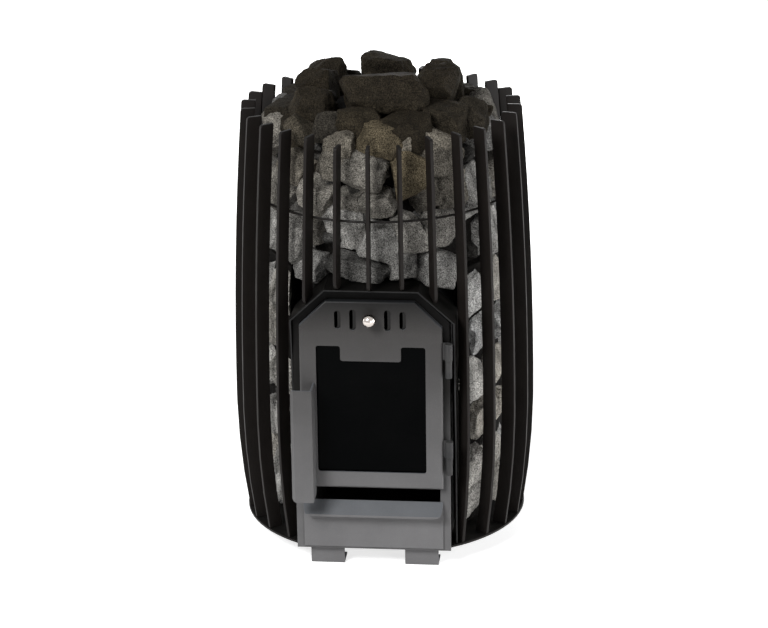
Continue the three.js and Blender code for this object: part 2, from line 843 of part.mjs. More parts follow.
// Ash drawer: a sheet tray on the base plate, and a front whose top edge is bent to a pull lip
function addAshDrawer() {
  const frontBack = plateFront - slideGap;
  const frontFace = frontBack - drawerFrontSheet;
  const trayHalf = ashOpeningHalfWidth - drawerSideGap;
  const trayFront = frontBack + weldGap;
  const trayRear = trayFront + drawerLength;
  const tray = box(-trayHalf, trayHalf, trayFront, trayRear, slideGap, slideGap + drawerHeight);
  const room = box(
    drawerSheet - trayHalf,
    trayHalf - drawerSheet,
    trayFront + drawerSheet,
    trayRear - drawerSheet,
    slideGap + drawerSheet,
    slideGap + drawerHeight + cutOverrun,
  );
  addPiece('ash_drawer_tray', toSolid(tray).subtract(toSolid(room)), darkSteel);

  const half = drawerFrontHalfWidth;
  const lipDepth = drawerFrontSheet / Math.cos(lipSlope);
  const lipForward = lipLength * Math.cos(lipSlope);
  const lipFall = lipLength * Math.sin(lipSlope);
  const profile = new THREE.Shape([
    new THREE.Vector2(frontBack, drawerFrontHeight),
    new THREE.Vector2(frontBack - lipForward, drawerFrontHeight - lipFall),
    new THREE.Vector2(frontBack - lipForward, drawerFrontHeight - lipFall - lipDepth),
    new THREE.Vector2(frontBack, drawerFrontHeight - lipDepth),
  ]);
  const lipEnd = drawerFrontHeight - lipFall - lipDepth;
  const outline = roundedOutline(
    [
      new THREE.Vector2(-half, lipEnd),
      new THREE.Vector2(half, lipEnd),
      new THREE.Vector2(half, drawerFrontHeight + lipRound),
      new THREE.Vector2(-half, drawerFrontHeight + lipRound),
    ],
    lipRound,
  );
  const rounding = prismAlongY(outline, frontBack - lipLength - cutOverrun, frontBack + cutOverrun);
  const lip = toSolid(prismAlongX(profile, -half, half)).intersect(toSolid(rounding));
  const plateTop = drawerFrontHeight - drawerFrontSheet * Math.tan(lipSlope);
  const plate = box(-half, half, frontFace, frontBack, drawerFrontLift, plateTop);
  addPiece('ash_drawer_front', toSolid(plate).add(lip), greyPaint);
}

// Stones: the outer stones of each part of the filling are single blocks, set in a core of the inner stones
function makeRandom(seed) {
  const modulus = 2 ** 32;
  const multiplier = 1664525;
  const increment = 1013904223;
  let state = seed;
  return () => {
    state = (state * multiplier + increment) % modulus;
    return state / modulus;
  };
}

const random = makeRandom(stoneSeed);

function stoneReachAt(height) {
  return cageRadiusAt(Math.min(height, barHeight)) - barDepth - weldGap - hoopRod - stoneClearance;
}

function heapHeightAt(radius) {
  const share = radius / stoneReachAt(barHeight);
  return barHeight + heapRise * (1 - share ** heapShoulder);
}

const fillSide = surroundHalfWidth + surroundShift + stoneClearance;
const fillRear = fireboxRear + stoneClearance;
const fillTop = surroundHeight + stoneClearance;
const fillReach = cageWaistRadius;
const cornerLow = fillTop - surroundSlantHeight;
const heapTop = barHeight + heapRise;
const rimReach = stoneReachAt(barHeight);
const flueRoom = flueDiameter / 2 + stoneClearance;
const heartHeight = (fillTop + barHeight) / 2;
const frontHeart = new THREE.Vector3(0, (flueCentre - flueRoom - rimReach) / 2, heartHeight);
const rearHeart = new THREE.Vector3(0, (flueCentre + flueRoom + rimReach) / 2, heartHeight);

// The parts of the filling. Beside the firebox the stones are rooted in its wall, above it in a heart.
const stoneRegions = [
  {
    name: 'stones_left',
    low: [-fillReach, -fillReach, 0],
    high: [-fillSide, fillReach, fillTop],
    root: (corner, room) => corner.clone().setX(room.max.x),
  },
  {
    name: 'stones_right',
    low: [fillSide, -fillReach, 0],
    high: [fillReach, fillReach, fillTop],
    root: (corner, room) => corner.clone().setX(room.min.x),
  },
  {
    name: 'stones_rear',
    low: [-fillSide, fillRear, 0],
    high: [fillSide, fillReach, fillTop],
    root: (corner, room) => corner.clone().setY(room.min.y),
  },
  {
    name: 'stones_top_front',
    low: [-fillReach, -fillReach, cornerLow],
    high: [fillReach, flueCentre, heapTop],
    root: () => frontHeart,
  },
  {
    name: 'stones_top_rear',
    low: [-fillReach, flueCentre, fillTop],
    high: [fillReach, fillReach, heapTop],
    root: () => rearHeart,
  },
].map(({ name, low, high, root }) => {
  const room = new THREE.Box3(new THREE.Vector3(...low), new THREE.Vector3(...high));
  return { name, root, room: room.expandByScalar(-stoneClearance / 2), stones: [] };
});

function regionOf(point) {
  return stoneRegions.find(({ room }) => room.containsPoint(point));
}

// A split stone: the eight corners of a block, each drawn in by chance, on axes turned and tipped by chance
function stoneCorners(centre, axes, size) {
  const turned = (first, second, angle) => [
    first.clone().multiplyScalar(Math.cos(angle)).addScaledVector(second, Math.sin(angle)),
    second.clone().multiplyScalar(Math.cos(angle)).addScaledVector(first, -Math.sin(angle)),
  ];
  const [across, upright] = turned(axes[0], axes[1], stoneSpin * (2 * random() - 1));
  const [along, out] = turned(upright, axes[2], stoneTilt * (2 * random() - 1));
  const corners = [];
  for (let index = 0; index < 2 ** axes.length; index += 1) {
    const corner = centre.clone();
    [across, along, out].forEach((axis, bit) => {
      const sign = (index >> bit) % 2 ? 1 : -1;
      corner.addScaledVector(axis, (sign * size[bit] * stoneFill * (1 - cornerDraw * random())) / 2);
    });
    corners.push(corner);
  }
  return corners;
}

// Moves a stone towards the axis until it is clear of the cage, down until it is below the top of the heap
// and away from the walls of its part of the filling
function settle(corners, inward, room) {
  const excess = (measure) => Math.max(0, ...corners.map(measure));
  const move = (x, y, z) => corners.forEach((corner) => corner.add(new THREE.Vector3(x, y, z)));
  for (let pass = 0; pass < settlePasses; pass += 1) {
    const over = excess((corner) => Math.hypot(corner.x, corner.y) - stoneReachAt(corner.z));
    move(inward.x * over, inward.y * over, 0);
    move(0, 0, -excess((corner) => corner.z - heapHeightAt(Math.hypot(corner.x, corner.y))));
    move(0, 0, excess((corner) => room.min.z - corner.z) - excess((corner) => corner.z - room.max.z));
  }
  corners.forEach((corner) => corner.clamp(room.min, room.max));
}

function addStone(centre, axes, size) {
  const region = regionOf(centre);
  const corners = stoneCorners(centre, axes, size);
  if (region) {
    const inward = new THREE.Vector3(-centre.x, -centre.y, 0).normalize();
    settle(corners, inward, region.room);
    region.stones.push(corners);
  }
}

// A stone in the cage's wall, at a bearing from the front
function addWallStone(bearing, height, width, tall) {
  const outward = new THREE.Vector3(Math.sin(bearing), -Math.cos(bearing), 0);
  const sideways = new THREE.Vector3(Math.cos(bearing), Math.sin(bearing), 0);
  const centre = outward.clone().multiplyScalar(stoneReachAt(height) - stoneDepth / 2);
  centre.z = height;
  if (height < fillTop && centre.y > 0 && Math.abs(centre.x) < fillSide) {
    centre.y = Math.max(centre.y, fillRear + wedgeThickness);
  } else if (height < fillTop) {
    centre.x = Math.sign(centre.x) * Math.max(Math.abs(centre.x), fillSide + wedgeThickness);
  }
  addStone(centre, [sideways, new THREE.Vector3(0, 0, 1), outward], [width, tall, stoneDepth]);
}

// A stone on the heap
function addHeapStone(x, y, height, size) {
  const axes = [new THREE.Vector3(1, 0, 0), new THREE.Vector3(0, 1, 0), new THREE.Vector3(0, 0, 1)];
  addStone(new THREE.Vector3(x, y, height), axes, size);
}

// Rows of stones in the wall, from the bottom of the cage to its rim, with room for the front
function addWallRows(lowHeight, highHeight, isFront) {
  const rows = Math.round((highHeight - lowHeight) / rowPitch);
  const tall = (highHeight - lowHeight) / rows;
  const vary = () => 1 + (stoneSpread * (2 * random() - 1)) / 2;
  for (let row = 0; row < rows; row += 1) {
    const height = lowHeight + ((2 * row + 1) * tall) / 2;
    const count = Math.round((2 * Math.PI * stoneReachAt(height)) / stoneWidth);
    const step = (2 * Math.PI) / count;
    for (let place = 0; place < count; place += 1) {
      const bearing = (place + (row % 2) / 2) * step - Math.PI;
      const width = 2 * stoneReachAt(height) * Math.tan(step / 2) * vary();
      const stoneHeight = tall * vary();
      if (!isFront(bearing, height)) {
        addWallStone(bearing, height, width, stoneHeight);
      }
    }
  }
}

function isDoorway(bearing, height) {
  const across = stoneReachAt(height) * Math.abs(Math.sin(bearing));
  return Math.cos(bearing) > 0 && across < fillSide + wedgeThickness;
}

function isOverDoor(bearing) {
  return Math.abs(bearing) < THREE.MathUtils.degToRad(frontBearing);
}

// The stones over the door: bearing in degrees, share of the height from the door to the rim,
// then width in stone widths and height in rows
const frontStones = [
  [-6, 0.07, 1.25, 0.52],
  [15, 0.09, 0.61, 0.62],
  [34, 0.04, 0.94, 1],
  [-36, 0.04, 0.82, 0.93],
  [-44, 0.2, 0.8, 1.25],
  [-15, 0.34, 0.9, 1.33],
  [5, 0.27, 0.75, 1],
  [18.5, 0.34, 0.53, 1.14],
  [34, 0.35, 0.86, 1],
  [-30, 0.34, 0.51, 0.74],
  [-10, 0.54, 0.59, 0.48],
  [5, 0.53, 0.82, 0.5],
  [-30, 0.54, 0.75, 0.74],
  [28, 0.57, 0.55, 0.67],
  [45, 0.55, 0.82, 0.93],
  [-44, 0.7, 0.69, 1.02],
  [-21, 0.78, 0.59, 0.71],
  [-6, 0.75, 1.02, 1.1],
  [19, 0.72, 0.73, 1.26],
  [38, 0.78, 0.88, 0.79],
  [-44, 0.93, 0.86, 0.64],
  [-18, 0.94, 0.82, 0.62],
  [5, 0.93, 0.96, 0.79],
  [30, 0.94, 1.2, 0.83],
];

// The stones on the heap: across and back in shares of the rim, top in shares of the heap's rise,
// then width and depth in stone widths and rise in rows
const heapStones = [
  [0.07, -0.37, 0.91, 1.69, 1.37, 1.1],
  [0.46, -0.16, 0.97, 1.2, 0.78, 1.02],
  [-0.48, -0.42, 0.67, 0.98, 0.82, 0.83],
  [-0.51, -0.05, 0.59, 0.9, 0.82, 0.79],
  [-0.08, -0.73, 0.47, 0.94, 0.82, 1.02],
  [0.26, -0.75, 0.26, 1.02, 0.82, 0.74],
  [0.57, -0.48, 0.55, 1.14, 0.9, 0.98],
  [0.73, -0.06, 0.5, 0.94, 0.75, 0.55],
  [0.8, -0.26, 0.36, 0.59, 0.82, 0.76],
  [-0.58, -0.49, 0.33, 1.1, 0.75, 0.71],
  [-0.38, -0.76, 0.21, 0.65, 0.65, 0.67],
  [-0.78, -0.14, 0.33, 0.75, 0.94, 0.74],
  [0.47, 0.1, 0.59, 0.82, 0.53, 0.88],
  [-0.48, 0.39, 0.53, 0.82, 0.69, 0.88],
  [0.49, 0.39, 0.52, 0.82, 0.69, 0.88],
  [0, 0.69, 0.53, 1.1, 0.76, 0.9],
  [-0.39, 0.67, 0.43, 0.82, 0.76, 0.79],
  [0.4, 0.68, 0.41, 0.86, 0.76, 0.79],
  [-0.76, 0.34, 0.31, 0.8, 0.9, 0.74],
  [0.77, 0.33, 0.33, 0.78, 0.9, 0.74],
];

// The hidden inner stones: the barrel drawn in by the core's depth, under a lower dome
function stoneCore() {
  const rim = stoneReachAt(barHeight) - coreDepth;
  const rimHeight = barHeight - coreDepth;
  const profile = [new THREE.Vector2(0, 0)];
  for (let step = 0; step <= coreSteps; step += 1) {
    const height = (rimHeight * step) / coreSteps;
    profile.push(new THREE.Vector2(stoneReachAt(height) - coreDepth, height));
  }
  for (let step = 1; step <= coreSteps; step += 1) {
    const share = 1 - step / coreSteps;
    profile.push(new THREE.Vector2(rim * share, rimHeight + coreRise * (1 - share * share)));
  }
  return toSolid(revolve(profile, barCount));
}

// The space above the firebox and beside the slanted corners of its door surround, around the flue pipe
function spaceOverFirebox() {
  const low = fillTop + stoneClearance / 2;
  const half = fillSide - stoneClearance / 2;
  const above = box(-fillReach, fillReach, -fillReach, fillReach, low, heapTop);
  const corners = box(-half, half, -fillReach, fillReach, cornerLow, heapTop);
  const arch = prismAlongY(archShape(insetArch(surroundArch, -stoneClearance), 0), -fillReach, fillReach);
  arch.translate(surroundShift, 0, 0);
  const wellTop = heapTop + cutOverrun;
  const well = box(-flueRoom, flueRoom, flueCentre - flueRoom, flueCentre + flueRoom, 0, wellTop);
  return toSolid(above).add(toSolid(corners)).subtract(toSolid(arch)).subtract(toSolid(well));
}

function addStones() {
  addWallRows(0, fillTop, isDoorway);
  addWallRows(fillTop, barHeight, isOverDoor);
  for (const [bearing, rise, width, tall] of frontStones) {
    const height = fillTop + rise * (barHeight - fillTop);
    addWallStone(THREE.MathUtils.degToRad(bearing), height, width * stoneWidth, tall * rowPitch);
  }
  for (const [across, back, top, width, depth, rise] of heapStones) {
    const height = barHeight + top * heapRise - (rise * rowPitch) / 2;
    const size = [width * stoneWidth, depth * stoneWidth, rise * rowPitch];
    addHeapStone(across * rimReach, back * rimReach, height, size);
  }
  const core = stoneCore();
  const overFirebox = spaceOverFirebox();
  for (const { name, root, room, stones } of stoneRegions) {
    const { min, max } = room;
    let filling = core.intersect(toSolid(box(min.x, max.x, min.y, max.y, min.z, max.z)));
    for (const corners of stones) {
      const roots = corners.map((corner) => root(corner, room));
      filling = filling.add(toSolid(new ConvexGeometry([...corners, ...roots])));
    }
    addPiece(name, max.z > fillTop ? filling.intersect(overFirebox) : filling, greyStone);
  }
}

addCageBars();
addHoop();
addBasePlate();
addFeet();
addSurround();
addFirebox();
addFrontPlate();
addGrate();
addBaffle();
addFlue();
addDoorPanel();
addGlass();
addSeal();
addHandle();
addHinge('upper', upperHingeHeight);
addHinge('lower', lowerHingeHeight);
addDamper();
addKnob();
addAshDrawer();
addStones();

export default stove;
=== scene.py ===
import json
import math

import bmesh
import bpy
import numpy as np
from mathutils import Matrix, Vector, noise


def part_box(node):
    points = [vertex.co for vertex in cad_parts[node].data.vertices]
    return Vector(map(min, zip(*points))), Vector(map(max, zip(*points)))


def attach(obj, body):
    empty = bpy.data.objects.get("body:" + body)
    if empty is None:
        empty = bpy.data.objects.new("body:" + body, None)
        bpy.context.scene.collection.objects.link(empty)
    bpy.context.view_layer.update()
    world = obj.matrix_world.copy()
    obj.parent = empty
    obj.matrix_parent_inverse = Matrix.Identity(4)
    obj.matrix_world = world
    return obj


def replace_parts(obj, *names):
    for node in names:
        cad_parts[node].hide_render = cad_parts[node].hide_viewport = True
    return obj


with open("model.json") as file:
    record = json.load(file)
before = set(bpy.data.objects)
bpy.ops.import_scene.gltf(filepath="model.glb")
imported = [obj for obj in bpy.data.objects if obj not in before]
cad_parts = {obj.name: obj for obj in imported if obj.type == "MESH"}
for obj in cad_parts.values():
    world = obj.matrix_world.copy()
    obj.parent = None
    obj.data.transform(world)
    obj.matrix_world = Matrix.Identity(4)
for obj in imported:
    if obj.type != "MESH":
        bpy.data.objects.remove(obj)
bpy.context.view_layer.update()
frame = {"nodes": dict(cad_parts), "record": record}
nodes = frame["nodes"]
scene = bpy.context.scene
scene.view_settings.view_transform = "Standard"

# Places in metres: the cage's axis and the top of the base plate
AXIS_Y = 0.0075
BASE_TOP = 0.038

# Cage and flue, as in the solids
BAR_HEIGHT = 0.770
BAR_DEPTH = 0.026
WAIST_HEIGHT = 0.228
WAIST_RADIUS = 0.275
TOP_RADIUS = 0.253
BASE_RADIUS = 0.256
HOOP_ROOM = 0.0073
FLUE_Y = 0.050
FLUE_ROOM = 0.0595

# Stones, as in the solids
FILL_SIDE = 0.1515
FILL_REAR = 0.122
FILL_TOP = 0.502
CORNER_LOW = 0.440
STONE_GAP = 0.001
STONE_DEPTH = 0.078
CORE_DEPTH = 0.030
CORE_RISE = 0.060
ROW_PITCH = 0.084
STONE_WIDTH = 0.102
STONE_FILL = 1.12
STONE_SPREAD = 0.24
CORNER_DRAW = 0.46
STONE_SPIN = 0.45
STONE_TILT = 0.4
WEDGE = 0.014
FRONT_BEARING = math.radians(52)
HEAP_RISE = 0.116
HEAP_SHOULDER = 4
SETTLE_PASSES = 3
STONE_SEED = 20

# Photograph's camera
PHOTO_WIDTH = 768
FOCAL_PIXELS = 3264.44
SENSOR_WIDTH = 36.0
CAMERA_DISTANCE = 6.0
CAMERA_AZIMUTH = math.radians(5.83)
CAMERA_ELEVATION = math.radians(20.0)
CAMERA_ROLL = math.radians(-0.79)
AIM_HEIGHT = 0.36424
CAMERA_CLIP = 100.0

# Materials: the range in which nearly all values of a noise lie, a full mask, and the sockets of a colour mix
NOISE_RANGE = (0.3, 0.7)
MASK = (0.0, 1.0)
MIX_INPUTS = (6, 7)
MIX_OUTPUT = 2


def new_material(name):
    material = bpy.data.materials.new(name)
    material.use_nodes = True
    tree = material.node_tree
    return material, tree, tree.nodes["Principled BSDF"]


def object_coordinates(tree):
    return tree.nodes.new("ShaderNodeTexCoord").outputs["Object"]


def noise_value(tree, coordinates, scale, detail, roughness):
    texture = tree.nodes.new("ShaderNodeTexNoise")
    texture.inputs["Scale"].default_value = scale
    texture.inputs["Detail"].default_value = detail
    texture.inputs["Roughness"].default_value = roughness
    tree.links.new(coordinates, texture.inputs["Vector"])
    return texture.outputs["Fac"]


def spread(tree, value, low, high, to_low, to_high):
    node = tree.nodes.new("ShaderNodeMapRange")
    node.inputs["From Min"].default_value = low
    node.inputs["From Max"].default_value = high
    node.inputs["To Min"].default_value = to_low
    node.inputs["To Max"].default_value = to_high
    tree.links.new(value, node.inputs["Value"])
    return node.outputs["Result"]


def math_node(tree, operation, first, second):
    node = tree.nodes.new("ShaderNodeMath")
    node.operation = operation
    for socket, value in zip(node.inputs, (first, second)):
        if isinstance(value, (int, float)):
            socket.default_value = value
        else:
            tree.links.new(value, socket)
    return node.outputs["Value"]


def mix_colour(tree, factor, first, second):
    node = tree.nodes.new("ShaderNodeMix")
    node.data_type = "RGBA"
    tree.links.new(factor, node.inputs["Factor"])
    for index, value in zip(MIX_INPUTS, (first, second)):
        if isinstance(value, tuple):
            node.inputs[index].default_value = (*value, 1.0)
        else:
            tree.links.new(value, node.inputs[index])
    return node.outputs[MIX_OUTPUT]


def add_bump(tree, shader, height, strength, distance):
    node = tree.nodes.new("ShaderNodeBump")
    node.inputs["Strength"].default_value = strength
    node.inputs["Distance"].default_value = distance
    tree.links.new(height, node.inputs["Height"])
    tree.links.new(node.outputs["Normal"], shader.inputs["Normal"])


def surface_direction(tree, axis):
    normal = tree.nodes.new("ShaderNodeNewGeometry").outputs["Normal"]
    parts = tree.nodes.new("ShaderNodeSeparateXYZ")
    tree.links.new(normal, parts.inputs["Vector"])
    return parts.outputs[axis]


def height_above_floor(tree):
    parts = tree.nodes.new("ShaderNodeSeparateXYZ")
    tree.links.new(object_coordinates(tree), parts.inputs["Vector"])
    return parts.outputs["Z"]


def scale_colour(tree, colour, factor):
    scale = tree.nodes.new("ShaderNodeVectorMath")
    scale.operation = "SCALE"
    tree.links.new(colour, scale.inputs["Vector"])
    tree.links.new(factor, scale.inputs["Scale"])
    return scale.outputs["Vector"]


# Heat-resistant paint: darker towards the top and paler towards the floor, and bluish with painted shade on
# the ledges that face up. On the front and the plate the fall from pale floor to dark top is painted light
# and painted shade under the hood.
LEDGE_FACING = (0.4, 0.75)
PAINT_SHADES = (0.9, 1.1)
FLAKE_RANGE = (0.62, 0.72)
PAINT_ROUGHNESS = (0.43, 0.57)


def paint_material(name, upper, lower, heights, soot, ledge_shade, specular, flake):
    material, tree, shader = new_material(name)
    place = object_coordinates(tree)
    mottle = noise_value(tree, place, scale=9.0, detail=6.0, roughness=0.65)
    grain = noise_value(tree, place, scale=900.0, detail=2.0, roughness=0.5)
    smudge = noise_value(tree, place, scale=26.0, detail=3.0, roughness=0.5)
    height = height_above_floor(tree)
    # Paler towards the floor: on the front and the plate, painted light from the floor
    tone = mix_colour(tree, spread(tree, height, *heights, *MASK), lower, upper)
    # Faces that look up turn to the ledge colour: painted shade
    up = spread(tree, surface_direction(tree, "Z"), *LEDGE_FACING, *MASK)
    tone = mix_colour(tree, up, tone, ledge_shade)
    # Darker above a height: on the front and the plate, painted shade under the hood
    tone = scale_colour(tree, tone, spread(tree, height, *soot))
    tone = scale_colour(tree, tone, spread(tree, mottle, *NOISE_RANGE, *PAINT_SHADES))
    tone = scale_colour(tree, tone, spread(tree, grain, *FLAKE_RANGE, 1.0, flake))
    tree.links.new(tone, shader.inputs["Base Color"])
    shader.inputs["Specular IOR Level"].default_value = specular
    tree.links.new(spread(tree, smudge, *NOISE_RANGE, *PAINT_ROUGHNESS), shader.inputs["Roughness"])
    add_bump(tree, shader, grain, strength=0.12, distance=0.0004)
    return material


# The surround's paint: near black on its broad faces, with a painted highlight on the cut edge that faces the
# front, brighter towards the floor as painted light
EDGE_FACING = (-0.9, -0.5)
EDGE_HEIGHTS = (0.1, 0.5)
EDGE_HIGHLIGHT_LOW = (0.060, 0.060, 0.060)
EDGE_HIGHLIGHT_HIGH = (0.020, 0.020, 0.020)
HOOD_DARK = (0.0042, 0.0039, 0.0036)
HOOD_SHADES = (0.8, 1.2)


def hood_material():
    material, tree, shader = new_material("hood_paint")
    place = object_coordinates(tree)
    mottle = noise_value(tree, place, scale=30.0, detail=6.0, roughness=0.65)
    # The front-facing cut edge: painted highlight, paler low down as painted light from the floor
    rise = spread(tree, height_above_floor(tree), *EDGE_HEIGHTS, *MASK)
    edge = mix_colour(tree, rise, EDGE_HIGHLIGHT_LOW, EDGE_HIGHLIGHT_HIGH)
    front = spread(tree, surface_direction(tree, "Y"), *EDGE_FACING, 1.0, 0.0)
    tone = mix_colour(tree, front, HOOD_DARK, edge)
    tone = scale_colour(tree, tone, spread(tree, mottle, *NOISE_RANGE, *HOOD_SHADES))
    tree.links.new(tone, shader.inputs["Base Color"])
    shader.inputs["Specular IOR Level"].default_value = 0.04
    shader.inputs["Roughness"].default_value = 0.5
    return material


# Bare steel that has been hot: clouds of a warmer tint over dark grey
TINT_RANGE = (0.35, 0.75)


def hot_steel_material(name, dark, warm, roughness):
    material, tree, shader = new_material(name)
    place = object_coordinates(tree)
    cloud = noise_value(tree, place, scale=14.0, detail=6.0, roughness=0.7)
    scratch = noise_value(tree, place, scale=420.0, detail=2.0, roughness=0.5)
    tone = mix_colour(tree, spread(tree, cloud, *TINT_RANGE, *MASK), dark, warm)
    tree.links.new(tone, shader.inputs["Base Color"])
    shader.inputs["Metallic"].default_value = 0.2
    shader.inputs["Specular IOR Level"].default_value = 0.15
    tree.links.new(spread(tree, cloud, *NOISE_RANGE, *roughness), shader.inputs["Roughness"])
    add_bump(tree, shader, scratch, strength=0.1, distance=0.0003)
    return material


# Cast iron, rough from the mould, with a dusting of ash
IRON = (0.035, 0.033, 0.031)
ASH = (0.16, 0.15, 0.14)
ASH_RANGE = (0.45, 0.75)
ASH_SHARE = (0.0, 0.6)


def cast_iron_material():
    material, tree, shader = new_material("cast_iron")
    place = object_coordinates(tree)
    sand = noise_value(tree, place, scale=650.0, detail=4.0, roughness=0.7)
    ash = noise_value(tree, place, scale=22.0, detail=5.0, roughness=0.6)
    tone = mix_colour(tree, spread(tree, ash, *ASH_RANGE, *ASH_SHARE), IRON, ASH)
    tree.links.new(tone, shader.inputs["Base Color"])
    shader.inputs["Metallic"].default_value = 0.4
    shader.inputs["Roughness"].default_value = 0.8
    add_bump(tree, shader, sand, strength=0.5, distance=0.0006)
    return material


# Polished steel, a little uneven from handling
STEEL_DULL = (0.42, 0.38, 0.35)
STEEL_BRIGHT = (0.55, 0.51, 0.48)
STEEL_ROUGHNESS = (0.12, 0.24)


def polished_steel_material():
    material, tree, shader = new_material("polished_steel")
    place = object_coordinates(tree)
    handling = noise_value(tree, place, scale=160.0, detail=4.0, roughness=0.6)
    tone = mix_colour(tree, handling, STEEL_DULL, STEEL_BRIGHT)
    tree.links.new(tone, shader.inputs["Base Color"])
    shader.inputs["Metallic"].default_value = 1.0
    tree.links.new(spread(tree, handling, *NOISE_RANGE, *STEEL_ROUGHNESS), shader.inputs["Roughness"])
    return material


# Fire glass seen against a dark firebox, with a faint haze of soot
GLASS_CLEAR = (0.0008, 0.0010, 0.0011)
GLASS_HAZE = (0.0016, 0.0017, 0.0018)
HAZE_RANGE = (0.4, 0.8)
SHEEN_RANGE = (0.3, 0.8)
GLASS_ROUGHNESS = (0.04, 0.12)


def fire_glass_material():
    material, tree, shader = new_material("fire_glass")
    place = object_coordinates(tree)
    soot = noise_value(tree, place, scale=11.0, detail=5.0, roughness=0.6)
    tone = mix_colour(tree, spread(tree, soot, *HAZE_RANGE, *MASK), GLASS_CLEAR, GLASS_HAZE)
    tree.links.new(tone, shader.inputs["Base Color"])
    shader.inputs["Specular IOR Level"].default_value = 0.015
    tree.links.new(spread(tree, soot, *SHEEN_RANGE, *GLASS_ROUGHNESS), shader.inputs["Roughness"])
    return material


# Woven sealing rope
ROPE_DARK = (0.30, 0.28, 0.24)
ROPE_PALE = (0.52, 0.49, 0.43)


def rope_material():
    material, tree, shader = new_material("seal_rope")
    place = object_coordinates(tree)
    weave = tree.nodes.new("ShaderNodeTexWave")
    weave.bands_direction = "DIAGONAL"
    weave.inputs["Scale"].default_value = 160.0
    weave.inputs["Distortion"].default_value = 2.5
    tree.links.new(place, weave.inputs["Vector"])
    tone = mix_colour(tree, weave.outputs["Fac"], ROPE_DARK, ROPE_PALE)
    tree.links.new(tone, shader.inputs["Base Color"])
    shader.inputs["Roughness"].default_value = 0.95
    add_bump(tree, shader, weave.outputs["Fac"], strength=0.6, distance=0.0008)
    return material


# Split stone: each stone carries its own tone, with pale and dark mineral grains
COOL_STONE = ((0.004, 0.004, 0.004), (0.34, 0.34, 0.335))
WARM_STONE = ((0.005, 0.004, 0.003), (0.31, 0.255, 0.165))
DARK_GRAIN = (0.008, 0.0075, 0.007)
CLOUD_SHADES = (0.35, 1.5)
GRAIN_RANGE = (0.38, 0.66)
GRAIN_SHADES = (0.3, 2.3)
SPECK_RANGE = (0.60, 0.70)
SPECK_SHARE = (0.0, 0.7)
STONE_ROUGHNESS = (0.72, 0.95)
LUMP_HEIGHT = 1.6
GRAIN_HEIGHT = 0.5


def stone_material():
    material, tree, shader = new_material("split_stone")
    place = object_coordinates(tree)
    tint = tree.nodes.new("ShaderNodeAttribute")
    tint.attribute_name = "stone_tint"
    parts = tree.nodes.new("ShaderNodeSeparateColor")
    tree.links.new(tint.outputs["Color"], parts.inputs["Color"])
    lightness, warmth, shift = parts.outputs["Red"], parts.outputs["Green"], parts.outputs["Blue"]
    move = tree.nodes.new("ShaderNodeVectorMath")
    move.operation = "ADD"
    tree.links.new(place, move.inputs[0])
    tree.links.new(tint.outputs["Color"], move.inputs[1])
    local = move.outputs["Vector"]
    patch = noise_value(tree, local, scale=30.0, detail=7.0, roughness=0.7)
    grain = noise_value(tree, local, scale=520.0, detail=3.0, roughness=0.65)
    speck = noise_value(tree, local, scale=300.0, detail=2.0, roughness=0.5)
    cool = mix_colour(tree, lightness, *COOL_STONE)
    warm = mix_colour(tree, lightness, *WARM_STONE)
    tone = mix_colour(tree, warmth, cool, warm)
    clouds = spread(tree, patch, *NOISE_RANGE, *CLOUD_SHADES)
    salt = spread(tree, grain, *GRAIN_RANGE, *GRAIN_SHADES)
    tone = scale_colour(tree, tone, math_node(tree, "MULTIPLY", clouds, salt))
    tone = mix_colour(tree, spread(tree, speck, *SPECK_RANGE, *SPECK_SHARE), tone, DARK_GRAIN)
    tree.links.new(tone, shader.inputs["Base Color"])
    tree.links.new(spread(tree, shift, *MASK, *STONE_ROUGHNESS), shader.inputs["Roughness"])
    shader.inputs["Specular IOR Level"].default_value = 0.06
    lumps = math_node(tree, "MULTIPLY", patch, LUMP_HEIGHT)
    pits = math_node(tree, "MULTIPLY", grain, GRAIN_HEIGHT)
    add_bump(tree, shader, math_node(tree, "ADD", lumps, pits), strength=0.8, distance=0.003)
    return material


# Finishes
black_paint = paint_material(
    "cage_paint",
    upper=(0.0086, 0.0070, 0.0062),
    lower=(0.0110, 0.0094, 0.0086),
    heights=(0.0, 0.5),
    soot=(0.5, 0.8, 1.0, 0.9),
    ledge_shade=(0.007, 0.0065, 0.006),
    specular=0.12,
    flake=1.5,
)
# The front's paint: paler towards the floor as painted light from the floor, bluish painted shade on its
# ledges, and its soot range is painted shadow of the hood over the door's top
grey_paint = paint_material(
    "front_paint",
    upper=(0.043, 0.041, 0.040),
    lower=(0.158, 0.156, 0.159),
    heights=(0.06, 0.46),
    soot=(0.455, 0.513, 1.0, 0.12),
    ledge_shade=(0.100, 0.106, 0.115),
    specular=0.15,
    flake=1.3,
)
# The front plate: a shaded copy of the front's paint, nearly black at the top and pale low down as painted
# shade under the hood; its soot range is more painted shade
plate_paint = paint_material(
    "plate_paint",
    upper=(0.012, 0.0115, 0.011),
    lower=(0.140, 0.138, 0.140),
    heights=(0.08, 0.34),
    soot=(0.36, 0.5, 1.0, 0.2),
    ledge_shade=(0.050, 0.050, 0.050),
    specular=0.06,
    flake=1.3,
)
hood_paint = hood_material()
# The damper plate behind the slots: a darker copy of the hot steel, painted shade of its place behind the
# door
shaded_damper_steel = hot_steel_material(
    "shaded_damper_steel",
    dark=(0.010, 0.010, 0.010),
    warm=(0.018, 0.017, 0.016),
    roughness=(0.5, 0.7),
)
dark_steel = hot_steel_material(
    "hot_steel",
    dark=(0.03, 0.03, 0.031),
    warm=(0.06, 0.058, 0.056),
    roughness=(0.45, 0.65),
)
cast_iron = cast_iron_material()
polished_steel = polished_steel_material()
fire_glass = fire_glass_material()
rope = rope_material()
stone = stone_material()

